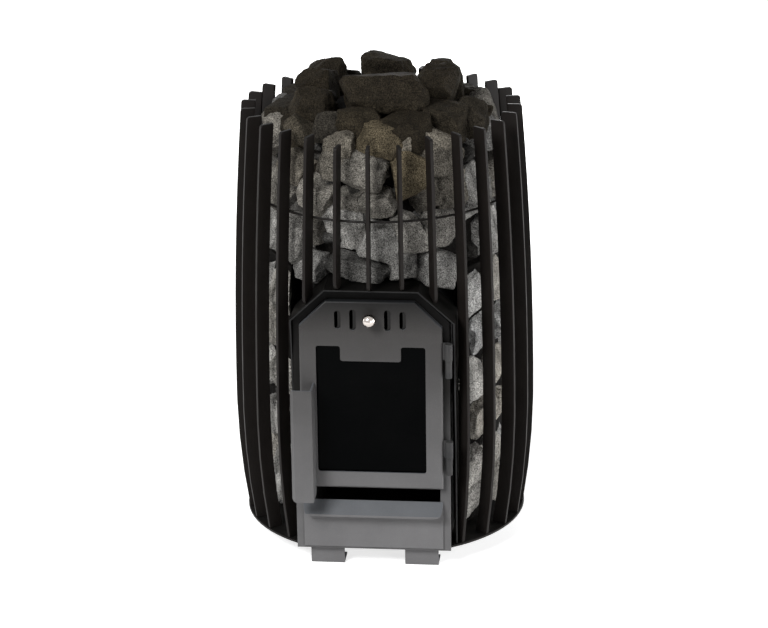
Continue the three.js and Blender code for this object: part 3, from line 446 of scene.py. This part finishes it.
finish_of_slot = {
    "cage_paint": black_paint,
    "front_paint": grey_paint,
    "dark_steel": dark_steel,
    "grate_iron": cast_iron,
    "knob_steel": polished_steel,
    "door_glass": fire_glass,
    "seal_rope": rope,
    "stone": stone,
}
finish_of_node = {"front_plate": plate_paint, "door_surround": hood_paint, "damper_plate": shaded_damper_steel}
slot_of_node = {entry["node"]: entry["material_slot"] for entry in frame["record"]["subparts"]}
body_of_node = {
    node: body for body, members in frame["record"]["behaviour"]["bodies"].items() for node in members
}


def finish_of(node):
    return finish_of_node.get(node, finish_of_slot[slot_of_node[node]])


for node, piece in nodes.items():
    piece.data.materials.clear()
    piece.data.materials.append(finish_of(node))


# Pieces
def add_piece(name, mesh, node, material):
    piece = bpy.data.objects.new(name, mesh)
    scene.collection.objects.link(piece)
    mesh.materials.clear()
    mesh.materials.append(material)
    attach(piece, body_of_node[node])
    return piece


# A ring of points for each step of a profile, and the skin that joins the rings and closes both ends
def skin_profile(shape, profile, segments, point_at):
    rings = []
    for radius, along in profile:
        ring = []
        for step in range(segments):
            angle = 2 * math.pi * step / segments
            ring.append(shape.verts.new(point_at(radius * math.cos(angle), radius * math.sin(angle), along)))
        rings.append(ring)
    for lower, upper in zip(rings, rings[1:]):
        for step in range(segments):
            after = (step + 1) % segments
            shape.faces.new((lower[step], lower[after], upper[after], upper[step]))
    shape.faces.new(rings[0][::-1])
    shape.faces.new(rings[-1])


def points_and_faces(shape):
    shape.verts.index_update()
    points = np.array([vertex.co for vertex in shape.verts])
    faces = np.array([[vertex.index for vertex in face.verts] for face in shape.faces])
    shape.free()
    return points, faces


# A sheet or bar with its cut edges eased, as the grinder and the paint leave them
MERGE_DISTANCE = 0.00002
FLAT_ANGLE = math.radians(0.25)
SHARP_CORNER = math.radians(40)
ROUND_CORNER = math.radians(65)
BAR_EDGE = 0.0007
SHEET_EDGE = 0.0006
HINGE_EDGE = 0.0005


def ease_edges(node, width, corner):
    shape = bmesh.new()
    shape.from_mesh(nodes[node].data)
    bmesh.ops.remove_doubles(shape, verts=shape.verts, dist=MERGE_DISTANCE)
    bmesh.ops.dissolve_limit(shape, angle_limit=FLAT_ANGLE, verts=shape.verts, edges=shape.edges)
    whole = [edge for edge in shape.edges if len(edge.link_faces) == 2]
    sharp = [edge for edge in whole if edge.calc_face_angle(0.0) > corner]
    bmesh.ops.bevel(
        shape,
        geom=sharp,
        offset=width,
        offset_type="OFFSET",
        segments=2,
        profile=0.5,
        affect="EDGES",
        clamp_overlap=True,
    )
    for face in shape.faces:
        face.smooth = True
    mesh = bpy.data.meshes.new(node + "_eased")
    shape.to_mesh(mesh)
    shape.free()
    piece = add_piece(node + "_eased", mesh, node, finish_of(node))
    weighted = piece.modifiers.new("even_shading", "WEIGHTED_NORMAL")
    weighted.keep_sharp = False
    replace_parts(piece, node)


for node in sorted(nodes):
    if node.startswith("cage_bar"):
        ease_edges(node, BAR_EDGE, SHARP_CORNER)
for node in ("door_surround", "front_plate", "door_panel", "door_handle", "ash_drawer_front"):
    ease_edges(node, SHEET_EDGE, SHARP_CORNER)
for node in ("foot_front_left", "foot_front_right", "foot_rear_left", "foot_rear_right"):
    ease_edges(node, SHEET_EDGE, SHARP_CORNER)
for node in ("upper_hinge_pin", "upper_hinge_knuckle", "lower_hinge_pin", "lower_hinge_knuckle"):
    ease_edges(node, HINGE_EDGE, SHARP_CORNER)
for node in ("base_plate", "flue_pipe", "cage_hoop"):
    ease_edges(node, SHEET_EDGE, ROUND_CORNER)


# Stones, laid one by one as the solids have them, from the same chance numbers
class Chance:
    MULTIPLIER = 1664525
    INCREMENT = 1013904223
    MODULUS = 2**32

    def __init__(self, seed):
        self.state = seed

    def draw(self):
        self.state = (self.state * self.MULTIPLIER + self.INCREMENT) % self.MODULUS
        return self.state / self.MODULUS


chance = Chance(STONE_SEED)


# How far from the axis a stone may reach at a height, clear of the bars and the hoop
def stone_reach(height):
    height = np.minimum(height, BAR_HEIGHT)
    above = height > WAIST_HEIGHT
    end = np.where(above, TOP_RADIUS, BASE_RADIUS)
    run = np.where(above, BAR_HEIGHT - WAIST_HEIGHT, WAIST_HEIGHT)
    share = (height - WAIST_HEIGHT) / run
    return WAIST_RADIUS - (WAIST_RADIUS - end) * share**2 - BAR_DEPTH - HOOP_ROOM


# The top of the heap at a distance from the axis
def heap_height(radius):
    return BAR_HEIGHT + HEAP_RISE * (1.0 - (radius / stone_reach(BAR_HEIGHT)) ** HEAP_SHOULDER)


# The rooms that the fillings share out, as opposite corners
HEAP_TOP = BAR_HEIGHT + HEAP_RISE
REACH = WAIST_RADIUS
STONE_ROOMS = {
    "stones_left": ((-REACH, -REACH, 0.0), (-FILL_SIDE, REACH, FILL_TOP)),
    "stones_right": ((FILL_SIDE, -REACH, 0.0), (REACH, REACH, FILL_TOP)),
    "stones_rear": ((-FILL_SIDE, FILL_REAR, 0.0), (FILL_SIDE, REACH, FILL_TOP)),
    "stones_top_front": ((-REACH, -REACH, CORNER_LOW), (REACH, FLUE_Y, HEAP_TOP)),
    "stones_top_rear": ((-REACH, FLUE_Y, FILL_TOP), (REACH, REACH, HEAP_TOP)),
}


def room_at(point):
    for name, (low, high) in STONE_ROOMS.items():
        low, high = np.array(low) + STONE_GAP, np.array(high) - STONE_GAP
        if np.all(point >= low) and np.all(point <= high):
            return name, low, high
    return None


# The eight corners of a block, each drawn in by chance, on axes turned and tipped by chance
BLOCK_CORNERS = range(8)
BLOCK_BITS = (1, 2, 4)
BLOCK_EDGES = tuple((low, low | bit) for low in BLOCK_CORNERS for bit in BLOCK_BITS if not low & bit)


def stone_corners(centre, axes, size):
    spin = STONE_SPIN * (2 * chance.draw() - 1)
    tilt = STONE_TILT * (2 * chance.draw() - 1)
    across = axes[0] * math.cos(spin) + axes[1] * math.sin(spin)
    upright = axes[1] * math.cos(spin) - axes[0] * math.sin(spin)
    along = upright * math.cos(tilt) + axes[2] * math.sin(tilt)
    out = axes[2] * math.cos(tilt) - upright * math.sin(tilt)
    corners = []
    for index in BLOCK_CORNERS:
        corner = np.array(centre)
        for bit, axis, length in zip(BLOCK_BITS, (across, along, out), size):
            sign = 1 if index & bit else -1
            corner = corner + axis * sign * length * STONE_FILL * (1 - CORNER_DRAW * chance.draw()) / 2
        corners.append(corner)
    return np.array(corners)


# Towards the axis until clear of the cage, down below the top of the heap, and inside its own room
def settle(corners, inward, low, high):
    for _ in range(SETTLE_PASSES):
        over = np.hypot(corners[:, 0], corners[:, 1]) - stone_reach(corners[:, 2])
        corners = corners + inward * max(0.0, over.max())
        above = corners[:, 2] - heap_height(np.hypot(corners[:, 0], corners[:, 1]))
        corners[:, 2] -= max(0.0, above.max())
        below = max(0.0, low[2] - corners[:, 2].min())
        corners[:, 2] += below - max(0.0, corners[:, 2].max() - high[2])
    return np.clip(corners, low, high)


# A ball of triangles, finer with each level
def unit_sphere(level):
    ball = bmesh.new()
    bmesh.ops.create_icosphere(ball, subdivisions=level, radius=1.0)
    return points_and_faces(ball)


PLAIN, COARSE, FINE = unit_sphere(3), unit_sphere(4), unit_sphere(5)


# The flat sides of the block that the corners span, as outward directions and distances from its middle
SAME_SIDE = 0.999


def block_sides(corners, middle):
    block = bmesh.new()
    spots = [block.verts.new(corner - middle) for corner in corners]
    bmesh.ops.convex_hull(block, input=spots)
    directions, distances = [], []
    for face in block.faces:
        face.normal_update()
        distance = face.normal.dot(face.verts[0].co)
        direction = np.array(face.normal) * (1 if distance > 0 else -1)
        if all(direction @ other < SAME_SIDE for other in directions):
            directions.append(direction)
            distances.append(abs(distance))
    block.free()
    return np.array(directions), np.array(distances)


# Chips broken off the corners and edges of a block, as further flat sides, deepest on top of the heap
CORNER_CHIPS = (0.66, 0.94)
EDGE_CHIPS = (0.76, 0.99)
TOP_CHIPS = (0.52, 0.84)
TOP_FACING = 0.3
CHIP_TURN = 0.25


def unit(vectors):
    return vectors / np.linalg.norm(vectors, axis=1)[:, None]


def chipped_sides(corners, middle):
    spokes = corners - middle
    edges = np.array([spokes[first] + spokes[second] for first, second in BLOCK_EDGES])
    directions = np.concatenate((unit(spokes), unit(edges)))
    directions = unit(directions + tones.normal(scale=CHIP_TURN, size=directions.shape))
    corner_depths = tones.uniform(*CORNER_CHIPS, len(spokes))
    edge_depths = tones.uniform(*EDGE_CHIPS, len(edges))
    depths = np.concatenate((corner_depths, edge_depths))
    on_top = (directions[:, 2] > TOP_FACING) & (middle[2] > BAR_HEIGHT)
    depths = np.where(on_top, tones.uniform(*TOP_CHIPS, len(depths)), depths)
    return directions, (spokes @ directions.T).max(axis=0) * depths


# The height of what a stone over the firebox rests on: the roof, with a slant at either side
ROOF_FLAT = 0.0843
ROOF_SLOPE = 0.984
ROOF_SHIFT = 0.003


def resting_height(across):
    beyond = np.maximum(np.abs(across - ROOF_SHIFT) - ROOF_FLAT, 0.0)
    slanted = FILL_TOP - ROOF_SLOPE * beyond
    return np.where(np.abs(across) > FILL_SIDE - STONE_GAP, FILL_TOP + STONE_GAP, slanted)


# A stone's skin: the block with its edges chipped and its sides roughened
EDGE_SHARPNESS = 110.0
EDGE_ANGLE = math.radians(14)
NEARLY_ASIDE = 1e-5
FAR = 9.0
SKIN = 0.96
SKIN_SHARE = 0.8
SWELL = 0.05
SWELL_SCALE = 21.0
PITS = 0.06
PITS_SCALE = 48.0
PITS_DETAIL = (0.6, 2.2, 6)


def stone_skin(corners, ball):
    middle = corners.mean(axis=0)
    half = (corners.max(axis=0) - corners.min(axis=0)) / 2
    sides = block_sides(corners, middle)
    chips = chipped_sides(corners, middle)
    directions = np.concatenate((sides[0], chips[0]))
    distances = np.concatenate((sides[1], chips[1]))
    rays = ball[0] * half
    facing = np.maximum(rays @ directions.T, NEARLY_ASIDE)
    share = np.minimum(distances / facing, FAR)
    reach = -np.log(np.exp(-EDGE_SHARPNESS * share).sum(axis=1)) / EDGE_SHARPNESS
    spots = [Vector(middle + ray * SKIN_SHARE) for ray in rays]
    swell = np.array([noise.noise(spot * SWELL_SCALE) for spot in spots])
    pits = np.array([noise.fractal(spot * PITS_SCALE, *PITS_DETAIL) for spot in spots])
    reach = reach * np.minimum(SKIN + SWELL * swell + PITS * pits, 1.0)
    points = middle + rays * reach[:, None]
    if middle[2] > FILL_TOP:
        points[:, 2] = np.maximum(points[:, 2], resting_height(points[:, 0]))
    return points


# All stones of one filling, gathered into one mesh with a tint on each stone
class StoneHeap:
    def __init__(self):
        self.points = []
        self.faces = []
        self.tints = []
        self.count = 0

    def add(self, points, faces, tint):
        self.points.append(points + np.array((0.0, AXIS_Y, BASE_TOP)))
        self.faces.append(faces + self.count)
        self.tints.append(np.tile(np.array(tint), (len(points), 1)))
        self.count += len(points)

    def mesh(self, name):
        mesh = bpy.data.meshes.new(name)
        mesh.from_pydata(np.concatenate(self.points).tolist(), [], np.concatenate(self.faces).tolist())
        attribute = mesh.attributes.new("stone_tint", "FLOAT_COLOR", "POINT")
        attribute.data.foreach_set("color", np.concatenate(self.tints).astype(np.float32).ravel())
        mesh.polygons.foreach_set("use_smooth", [True] * len(mesh.polygons))
        mesh.set_sharp_from_angle(angle=EDGE_ANGLE)
        mesh.update()
        return mesh


# Chance numbers for the stones' tones and chips
TONE_SEED = 12
tones = np.random.default_rng(TONE_SEED)

# How far the stones of the heap's front and rear halves reach past one another
INTERLOCK = 0.02
heaps = {name: StoneHeap() for name in STONE_ROOMS}


def add_stone(centre, axes, size, ball, lightness, warmth):
    corners = stone_corners(centre, axes, size)
    room = room_at(centre)
    if room is None:
        return
    name, low, high = room
    low[1] -= INTERLOCK if name == "stones_top_rear" else 0.0
    high[1] += INTERLOCK if name == "stones_top_front" else 0.0
    inward = np.array((-centre[0], -centre[1], 0.0)) / math.hypot(centre[0], centre[1])
    corners = settle(corners, inward, low, high)
    heaps[name].add(stone_skin(corners, ball), ball[1], (lightness, warmth, tones.uniform(), 1.0))


# A stone in the cage's wall, at a bearing from the front
def add_wall_stone(bearing, height, width, tall, ball, lightness, warmth):
    outward = np.array((math.sin(bearing), -math.cos(bearing), 0.0))
    sideways = np.array((math.cos(bearing), math.sin(bearing), 0.0))
    centre = outward * (stone_reach(height) - STONE_DEPTH / 2)
    centre[2] = height
    if height < FILL_TOP and centre[1] > 0 and abs(centre[0]) < FILL_SIDE:
        centre[1] = max(centre[1], FILL_REAR + WEDGE)
    elif height < FILL_TOP:
        centre[0] = math.copysign(max(abs(centre[0]), FILL_SIDE + WEDGE), centre[0])
    upright = np.array((0.0, 0.0, 1.0))
    size = (width, tall, STONE_DEPTH)
    add_stone(centre, (sideways, upright, outward), size, ball, lightness, warmth)


def vary():
    return 1 + STONE_SPREAD * (chance.draw() - 0.5)


# Rows of stones round the cage: finer towards the front, darker with soot above a line
SEEN_SHARE = 0.2
WALL_WARMTH = (0.0, 0.4)
WALL_LIGHTNESS = (0.75, 1.25)
WALL_SOOT = 0.7
SOOT_LINE = 0.40


def add_wall_rows(low, high, is_front):
    rows = round((high - low) / ROW_PITCH)
    tall = (high - low) / rows
    for row in range(rows):
        height = low + (row + 0.5) * tall
        count = round(2 * math.pi * stone_reach(height) / STONE_WIDTH)
        step = 2 * math.pi / count
        for place in range(count):
            bearing = (place + row % 2 / 2) * step - math.pi
            width = 2 * stone_reach(height) * math.tan(step / 2) * vary()
            stone_height = tall * vary()
            if not is_front(bearing, height):
                soot = WALL_SOOT * max(0.0, height - SOOT_LINE) / (BAR_HEIGHT - SOOT_LINE)
                lightness = tones.uniform(*WALL_LIGHTNESS) * (1 - soot)
                warmth = tones.uniform(*WALL_WARMTH)
                ball = FINE if math.cos(bearing) > SEEN_SHARE else COARSE
                add_wall_stone(bearing, height, width, stone_height, ball, lightness, warmth)


def is_doorway(bearing, height):
    return math.cos(bearing) > 0 and stone_reach(height) * abs(math.sin(bearing)) < FILL_SIDE + WEDGE


def is_over_door(bearing, height):
    return abs(bearing) < FRONT_BEARING


# Stones over the door: bearing in degrees, share of the height from the door to the rim,
# width in stone widths, height in rows, lightness and warmth
FRONT_STONES = (
    (-6, 0.07, 1.25, 0.52, 0.22, 0.1),
    (15, 0.09, 0.61, 0.62, 0.35, 0.1),
    (34, 0.04, 0.94, 1, 0.55, 0.1),
    (-36, 0.04, 0.82, 0.93, 0.45, 0.1),
    (-44, 0.2, 0.8, 1.25, 0.5, 0.1),
    (-15, 0.34, 0.9, 1.33, 0.72, 0),
    (5, 0.27, 0.75, 1, 0.66, 0),
    (18.5, 0.34, 0.53, 1.14, 0.58, 0.1),
    (34, 0.35, 0.86, 1, 0.52, 0.1),
    (-30, 0.34, 0.51, 0.74, 0.25, 0.2),
    (-10, 0.54, 0.59, 0.48, 0.42, 0.1),
    (5, 0.53, 0.82, 0.5, 0.52, 0.1),
    (-30, 0.54, 0.75, 0.74, 0.64, 0.1),
    (28, 0.57, 0.55, 0.67, 0.25, 0.2),
    (45, 0.55, 0.82, 0.93, 0.38, 0.2),
    (-44, 0.7, 0.69, 1.02, 0.45, 0.2),
    (-21, 0.78, 0.59, 0.71, 0.52, 0.1),
    (-6, 0.75, 1.02, 1.1, 0.7, 0),
    (19, 0.72, 0.73, 1.26, 0.36, 0.9),
    (38, 0.78, 0.88, 0.79, 0.5, 0.1),
    (-44, 0.93, 0.86, 0.64, 0.28, 0.3),
    (-18, 0.94, 0.82, 0.62, 0.68, 0.1),
    (5, 0.93, 0.96, 0.79, 0.42, 0.6),
    (30, 0.94, 1.2, 0.83, 0.8, 0.1),
)

# Stones on the heap: across and back in shares of the rim, top in shares of the heap's rise,
# width and depth in stone widths, rise in rows, lightness and warmth
HEAP_STONES = (
    (0.07, -0.37, 0.91, 1.69, 1.37, 1.1, 0.15, 0.7),
    (0.46, -0.16, 0.97, 1.2, 0.78, 1.02, 0.13, 0.7),
    (-0.48, -0.42, 0.67, 0.98, 0.82, 0.83, 0.14, 0.8),
    (-0.51, -0.05, 0.59, 0.9, 0.82, 0.79, 0.12, 0.7),
    (-0.08, -0.73, 0.47, 0.94, 0.82, 1.02, 0.22, 1),
    (0.26, -0.75, 0.26, 1.02, 0.82, 0.74, 0.14, 0.7),
    (0.57, -0.48, 0.55, 1.14, 0.9, 0.98, 0.18, 0.6),
    (0.73, -0.06, 0.5, 0.94, 0.75, 0.55, 0.2, 0.6),
    (0.8, -0.26, 0.36, 0.59, 0.82, 0.76, 0.18, 0.5),
    (-0.58, -0.49, 0.33, 1.1, 0.75, 0.71, 0.2, 0.6),
    (-0.38, -0.76, 0.21, 0.65, 0.65, 0.67, 0.24, 0.3),
    (-0.78, -0.14, 0.33, 0.75, 0.94, 0.74, 0.18, 0.5),
    (0.47, 0.1, 0.59, 0.82, 0.53, 0.88, 0.16, 0.6),
    (-0.48, 0.39, 0.53, 0.82, 0.69, 0.88, 0.15, 0.6),
    (0.49, 0.39, 0.52, 0.82, 0.69, 0.88, 0.16, 0.6),
    (0, 0.69, 0.53, 1.1, 0.76, 0.9, 0.18, 0.6),
    (-0.39, 0.67, 0.43, 0.82, 0.76, 0.79, 0.15, 0.7),
    (0.4, 0.68, 0.41, 0.86, 0.76, 0.79, 0.17, 0.5),
    (-0.76, 0.34, 0.31, 0.8, 0.9, 0.74, 0.2, 0.5),
    (0.77, 0.33, 0.33, 0.78, 0.9, 0.74, 0.18, 0.6),
)
LEVEL_AXES = tuple(np.eye(3))

# How much warmer and darker the fire has made the stones towards the rim and on the heap; on the heap the
# darkening is partly painted shade
RIM_WARMTH = 0.5
RIM_SOOT = 0.6
HEAP_WARMTH = 0.3
HEAP_SHADE = 0.27

# The inner stones that show in the gaps, half sunk in the dark core and painted dark as the shade deep in the
# gaps
INNER_PITCH = 0.045
INNER_STEP = math.radians(14)
INNER_SIZE = 0.060
INNER_DEPTH = 0.054
INNER_SPOTS = 8
INNER_SPREAD = 0.2
INNER_FLATTENED = (1.2, 1.2, 1.0)
INNER_SHADE_LIGHTNESS = (0.03, 0.18)


def lay_inner_stones():
    rows = round(BAR_HEIGHT / INNER_PITCH)
    for row in range(rows):
        height = (row + 0.5) * BAR_HEIGHT / rows
        radius = float(stone_reach(height)) - INNER_DEPTH
        for place in range(round(2 * math.pi / INNER_STEP)):
            shift = tones.uniform(-INNER_SPREAD, INNER_SPREAD)
            bearing = (place + row % 2 / 2 + shift) * INNER_STEP
            middle = np.array((radius * math.sin(bearing), -radius * math.cos(bearing), height))
            spots = unit(tones.uniform(-1.0, 1.0, (INNER_SPOTS, 3))) * INNER_FLATTENED * INNER_SIZE / 2
            tint = (tones.uniform(*INNER_SHADE_LIGHTNESS), tones.uniform(*WALL_WARMTH), tones.uniform(), 1.0)
            room = room_at(middle)
            if room is None or (height < FILL_TOP and room[0] == "stones_top_front"):
                continue
            name, low, high = room
            points = np.clip(stone_skin(middle + spots, PLAIN), low, high)
            heaps[name].add(points, PLAIN[1], tint)


def lay_stones():
    add_wall_rows(0.0, FILL_TOP, is_doorway)
    add_wall_rows(FILL_TOP, BAR_HEIGHT, is_over_door)
    for bearing, share, width, tall, lightness, warmth in FRONT_STONES:
        height = FILL_TOP + share * (BAR_HEIGHT - FILL_TOP)
        size = (width * STONE_WIDTH, tall * ROW_PITCH)
        lightness *= 1 - RIM_SOOT * share**2
        add_wall_stone(math.radians(bearing), height, *size, FINE, lightness, warmth + RIM_WARMTH * share)
    rim = float(stone_reach(BAR_HEIGHT))
    for across, back, top, width, depth, rise, lightness, warmth in HEAP_STONES:
        height = BAR_HEIGHT + top * HEAP_RISE - rise * ROW_PITCH / 2
        size = (width * STONE_WIDTH, depth * STONE_WIDTH, rise * ROW_PITCH)
        place = np.array((across * rim, back * rim, height))
        add_stone(place, LEVEL_AXES, size, FINE, HEAP_SHADE * lightness, HEAP_WARMTH + warmth)


lay_stones()
lay_inner_stones()


# The core, only seen in the gaps and painted near black as the shade there: the barrel drawn in, cut to a
# room
CORE_RINGS = 26
CORE_SEGMENTS = 72
CORE_ROUGHNESS = 0.008
CORE_SCALE = 22.0
CORE_DETAIL = (0.8, 2.1, 4)
CORE_SHADE_TINT = (0.0, 0.5, 0.5, 1.0)
TOP_CORE_DEPTH = 0.048


def core_profile(depth):
    rim_height = BAR_HEIGHT - depth
    rim = float(stone_reach(BAR_HEIGHT)) - depth
    heights = [rim_height * step / CORE_RINGS for step in range(CORE_RINGS + 1)]
    profile = [(float(stone_reach(height)) - depth, height) for height in heights]
    for step in range(1, CORE_RINGS // 2):
        share = 1 - 2 * step / CORE_RINGS
        profile.append((rim * share, rim_height + CORE_RISE * (1 - share * share)))
    return profile


def upright_point(across, back, height):
    return across, back, height


def core_body(low, high):
    body = bmesh.new()
    depth = CORE_DEPTH if low[2] < CORNER_LOW else TOP_CORE_DEPTH
    skin_profile(body, core_profile(depth), CORE_SEGMENTS, upright_point)
    for vertex in body.verts:
        bulge = noise.fractal(vertex.co * CORE_SCALE, *CORE_DETAIL)
        vertex.co += Vector((vertex.co.x, vertex.co.y, 0.0)).normalized() * CORE_ROUGHNESS * bulge
    for axis in range(3):
        for bound, side in ((low[axis], -1.0), (high[axis], 1.0)):
            wall, facing = Vector(), Vector()
            wall[axis] = bound
            facing[axis] = side
            everything = body.verts[:] + body.edges[:] + body.faces[:]
            bmesh.ops.bisect_plane(body, geom=everything, plane_co=wall, plane_no=facing, clear_outer=True)
            bmesh.ops.holes_fill(body, edges=[edge for edge in body.edges if edge.is_boundary], sides=0)
    bmesh.ops.triangulate(body, faces=body.faces[:])
    return points_and_faces(body)


# Above the firebox the core leaves a well for the flue pipe, so it is laid in parts around it
def core_rooms(name, low, high):
    if low[2] < CORNER_LOW:
        return [(low, high)]
    low = (low[0], low[1], FILL_TOP + STONE_GAP)
    front, back = FLUE_Y - FLUE_ROOM, FLUE_Y + FLUE_ROOM
    beside = [((low[0], low[1], low[2]), (-FLUE_ROOM, high[1], high[2]))]
    beside.append(((FLUE_ROOM, low[1], low[2]), (high[0], high[1], high[2])))
    if name == "stones_top_front":
        return beside + [((-FLUE_ROOM, low[1], low[2]), (FLUE_ROOM, front, high[2]))]
    return beside + [((-FLUE_ROOM, back, low[2]), (FLUE_ROOM, high[1], high[2]))]


for name, (low, high) in STONE_ROOMS.items():
    low = (low[0], low[1], low[2] + STONE_GAP)
    high = (high[0], high[1], high[2] - STONE_GAP)
    for core_low, core_high in core_rooms(name, low, high):
        heaps[name].add(*core_body(core_low, core_high), CORE_SHADE_TINT)
    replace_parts(add_piece(name + "_single", heaps[name].mesh(name + "_single"), name, stone), name)


# Damper knob: a turned steel ball on its collar, lying towards the front
def lying_point(across, rise, reach):
    return across, -reach, rise


def turned_knob(name, profile):
    turned = bmesh.new()
    skin_profile(turned, profile, KNOB_SEGMENTS, lying_point)
    bmesh.ops.recalc_face_normals(turned, faces=turned.faces)
    for face in turned.faces:
        face.smooth = True
    mesh = bpy.data.meshes.new(name)
    turned.to_mesh(mesh)
    turned.free()
    return mesh


# The knob's stem and collar: radius, and reach from the door's front
STEM_RADIUS = 0.003
COLLAR = ((0.0062, 0.0005), (0.0066, 0.0009), (0.0066, 0.0042), (0.0062, 0.0047), (0.0052, 0.0049))
NECK_RADIUS = 0.0050
STEM_END = 0.0005
BALL_POLE = 0.0003
BALL_STEPS = 24
KNOB_SEGMENTS = 48


def knob_profile(low, high, door_front):
    ball = (high.z - low.z) / 2
    tip = door_front - low.y
    back = door_front - high.y
    centre = tip - ball
    profile = [(STEM_END, back), (STEM_RADIUS, back), (STEM_RADIUS, COLLAR[0][1]), *COLLAR]
    start = -math.acos(NECK_RADIUS / ball)
    for step in range(BALL_STEPS + 1):
        angle = start + (math.pi / 2 - start) * step / BALL_STEPS
        profile.append((max(BALL_POLE, ball * math.cos(angle)), centre + ball * math.sin(angle)))
    return profile


knob_low, knob_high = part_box("damper_knob")
door_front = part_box("door_panel")[0].y
knob_place = ((knob_low.x + knob_high.x) / 2, door_front, (knob_low.z + knob_high.z) / 2)
knob_mesh = turned_knob("damper_knob_turned", knob_profile(knob_low, knob_high, door_front))
knob_mesh.transform(Matrix.Translation(knob_place))
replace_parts(add_piece("damper_knob_turned", knob_mesh, "damper_knob", polished_steel), "damper_knob")


# Camera at the photograph's angle
def photo_camera():
    back = Vector(
        (
            math.sin(CAMERA_AZIMUTH) * math.cos(CAMERA_ELEVATION),
            -math.cos(CAMERA_AZIMUTH) * math.cos(CAMERA_ELEVATION),
            math.sin(CAMERA_ELEVATION),
        )
    )
    level = Vector((math.cos(CAMERA_AZIMUTH), math.sin(CAMERA_AZIMUTH), 0.0))
    rise = back.cross(level)
    right = level * math.cos(CAMERA_ROLL) + rise * math.sin(CAMERA_ROLL)
    up = rise * math.cos(CAMERA_ROLL) - level * math.sin(CAMERA_ROLL)
    turn = Matrix((right, up, back)).transposed().to_4x4()
    aim = Vector((0.0, AXIS_Y, BASE_TOP + AIM_HEIGHT))
    data = bpy.data.cameras.new("photo_camera")
    data.sensor_fit = "HORIZONTAL"
    data.sensor_width = SENSOR_WIDTH
    data.lens = SENSOR_WIDTH * FOCAL_PIXELS / PHOTO_WIDTH
    data.clip_end = CAMERA_CLIP
    camera = bpy.data.objects.new("photo_camera", data)
    scene.collection.objects.link(camera)
    camera.matrix_world = Matrix.Translation(aim + back * CAMERA_DISTANCE) @ turn
    scene.camera = camera


photo_camera()


# Soft lamps: place, size and power
LAMPS = (
    ("key", (-1.2, -2.4, 2.4), 1.3, 100.0),
    ("fill", (2.1, -2.4, 0.6), 1.6, 24.0),
    ("left", (-3.1, 0.6, 0.9), 1.6, 22.0),
    ("right", (3.1, 0.0, 0.8), 1.6, 60.0),
    ("rear", (0.4, 3.1, 0.9), 1.6, 50.0),
)
LAMP_AIM = Vector((0.0, 0.0, 0.42))


def add_lamp(name, place, size, power):
    data = bpy.data.lights.new(name, "AREA")
    data.shape = "DISK"
    data.size = size
    data.energy = power
    lamp = bpy.data.objects.new(name, data)
    scene.collection.objects.link(lamp)
    lamp.location = place
    towards = LAMP_AIM - Vector(place)
    lamp.rotation_euler = towards.to_track_quat("-Z", "Y").to_euler()


for lamp in LAMPS:
    add_lamp(*lamp)


# One for what is seen directly, in a reflection or through glass, and nothing for all other light
def seen_directly(tree):
    path = tree.nodes.new("ShaderNodeLightPath")
    seen = math_node(tree, "MAXIMUM", path.outputs["Is Camera Ray"], path.outputs["Is Glossy Ray"])
    return math_node(tree, "MAXIMUM", seen, path.outputs["Is Transmission Ray"])


# Pale floor: white where it is seen, a little less near the stove, where its shadow stays
FLOOR_SIZE = 40.0
FLOOR_COLOUR = (0.86, 0.86, 0.86, 1.0)
FLOOR_ROUGHNESS = 0.9
SHADOW_REACH = (0.3, 1.3)
FLOOR_GLOW = (0.72, 1.0)
WHITE = (1.0, 1.0, 1.0, 1.0)


def pale_floor():
    bpy.ops.mesh.primitive_plane_add(size=FLOOR_SIZE, location=(0.0, 0.0, 0.0))
    floor = bpy.context.object
    floor.name = "floor"
    material, tree, shader = new_material("pale_floor")
    shader.inputs["Base Color"].default_value = FLOOR_COLOUR
    shader.inputs["Roughness"].default_value = FLOOR_ROUGHNESS
    shader.inputs["Specular IOR Level"].default_value = 0.0
    length = tree.nodes.new("ShaderNodeVectorMath")
    length.operation = "LENGTH"
    tree.links.new(object_coordinates(tree), length.inputs[0])
    glow = tree.nodes.new("ShaderNodeEmission")
    glow.inputs["Color"].default_value = WHITE
    away = spread(tree, length.outputs["Value"], *SHADOW_REACH, *FLOOR_GLOW)
    seen = seen_directly(tree)
    tree.links.new(math_node(tree, "MULTIPLY", away, seen), glow.inputs["Strength"])
    both = tree.nodes.new("ShaderNodeAddShader")
    tree.links.new(shader.outputs["BSDF"], both.inputs[0])
    tree.links.new(glow.outputs["Emission"], both.inputs[1])
    tree.links.new(both.outputs["Shader"], tree.nodes["Material Output"].inputs["Surface"])
    floor.data.materials.append(material)


pale_floor()

# Even pale surround, weak as a light and white where it is seen
SURROUND_LIGHT = 0.08
SURROUND_SEEN = 1.0


def pale_world():
    world = bpy.data.worlds.new("studio")
    world.use_nodes = True
    scene.world = world
    tree = world.node_tree
    lit = tree.nodes["Background"]
    lit.inputs["Color"].default_value = WHITE
    lit.inputs["Strength"].default_value = SURROUND_LIGHT
    seen = tree.nodes.new("ShaderNodeBackground")
    seen.inputs["Color"].default_value = WHITE
    seen.inputs["Strength"].default_value = SURROUND_SEEN
    mix = tree.nodes.new("ShaderNodeMixShader")
    tree.links.new(seen_directly(tree), mix.inputs["Fac"])
    tree.links.new(lit.outputs["Background"], mix.inputs[1])
    tree.links.new(seen.outputs["Background"], mix.inputs[2])
    tree.links.new(mix.outputs["Shader"], tree.nodes["World Output"].inputs["Surface"])


pale_world()
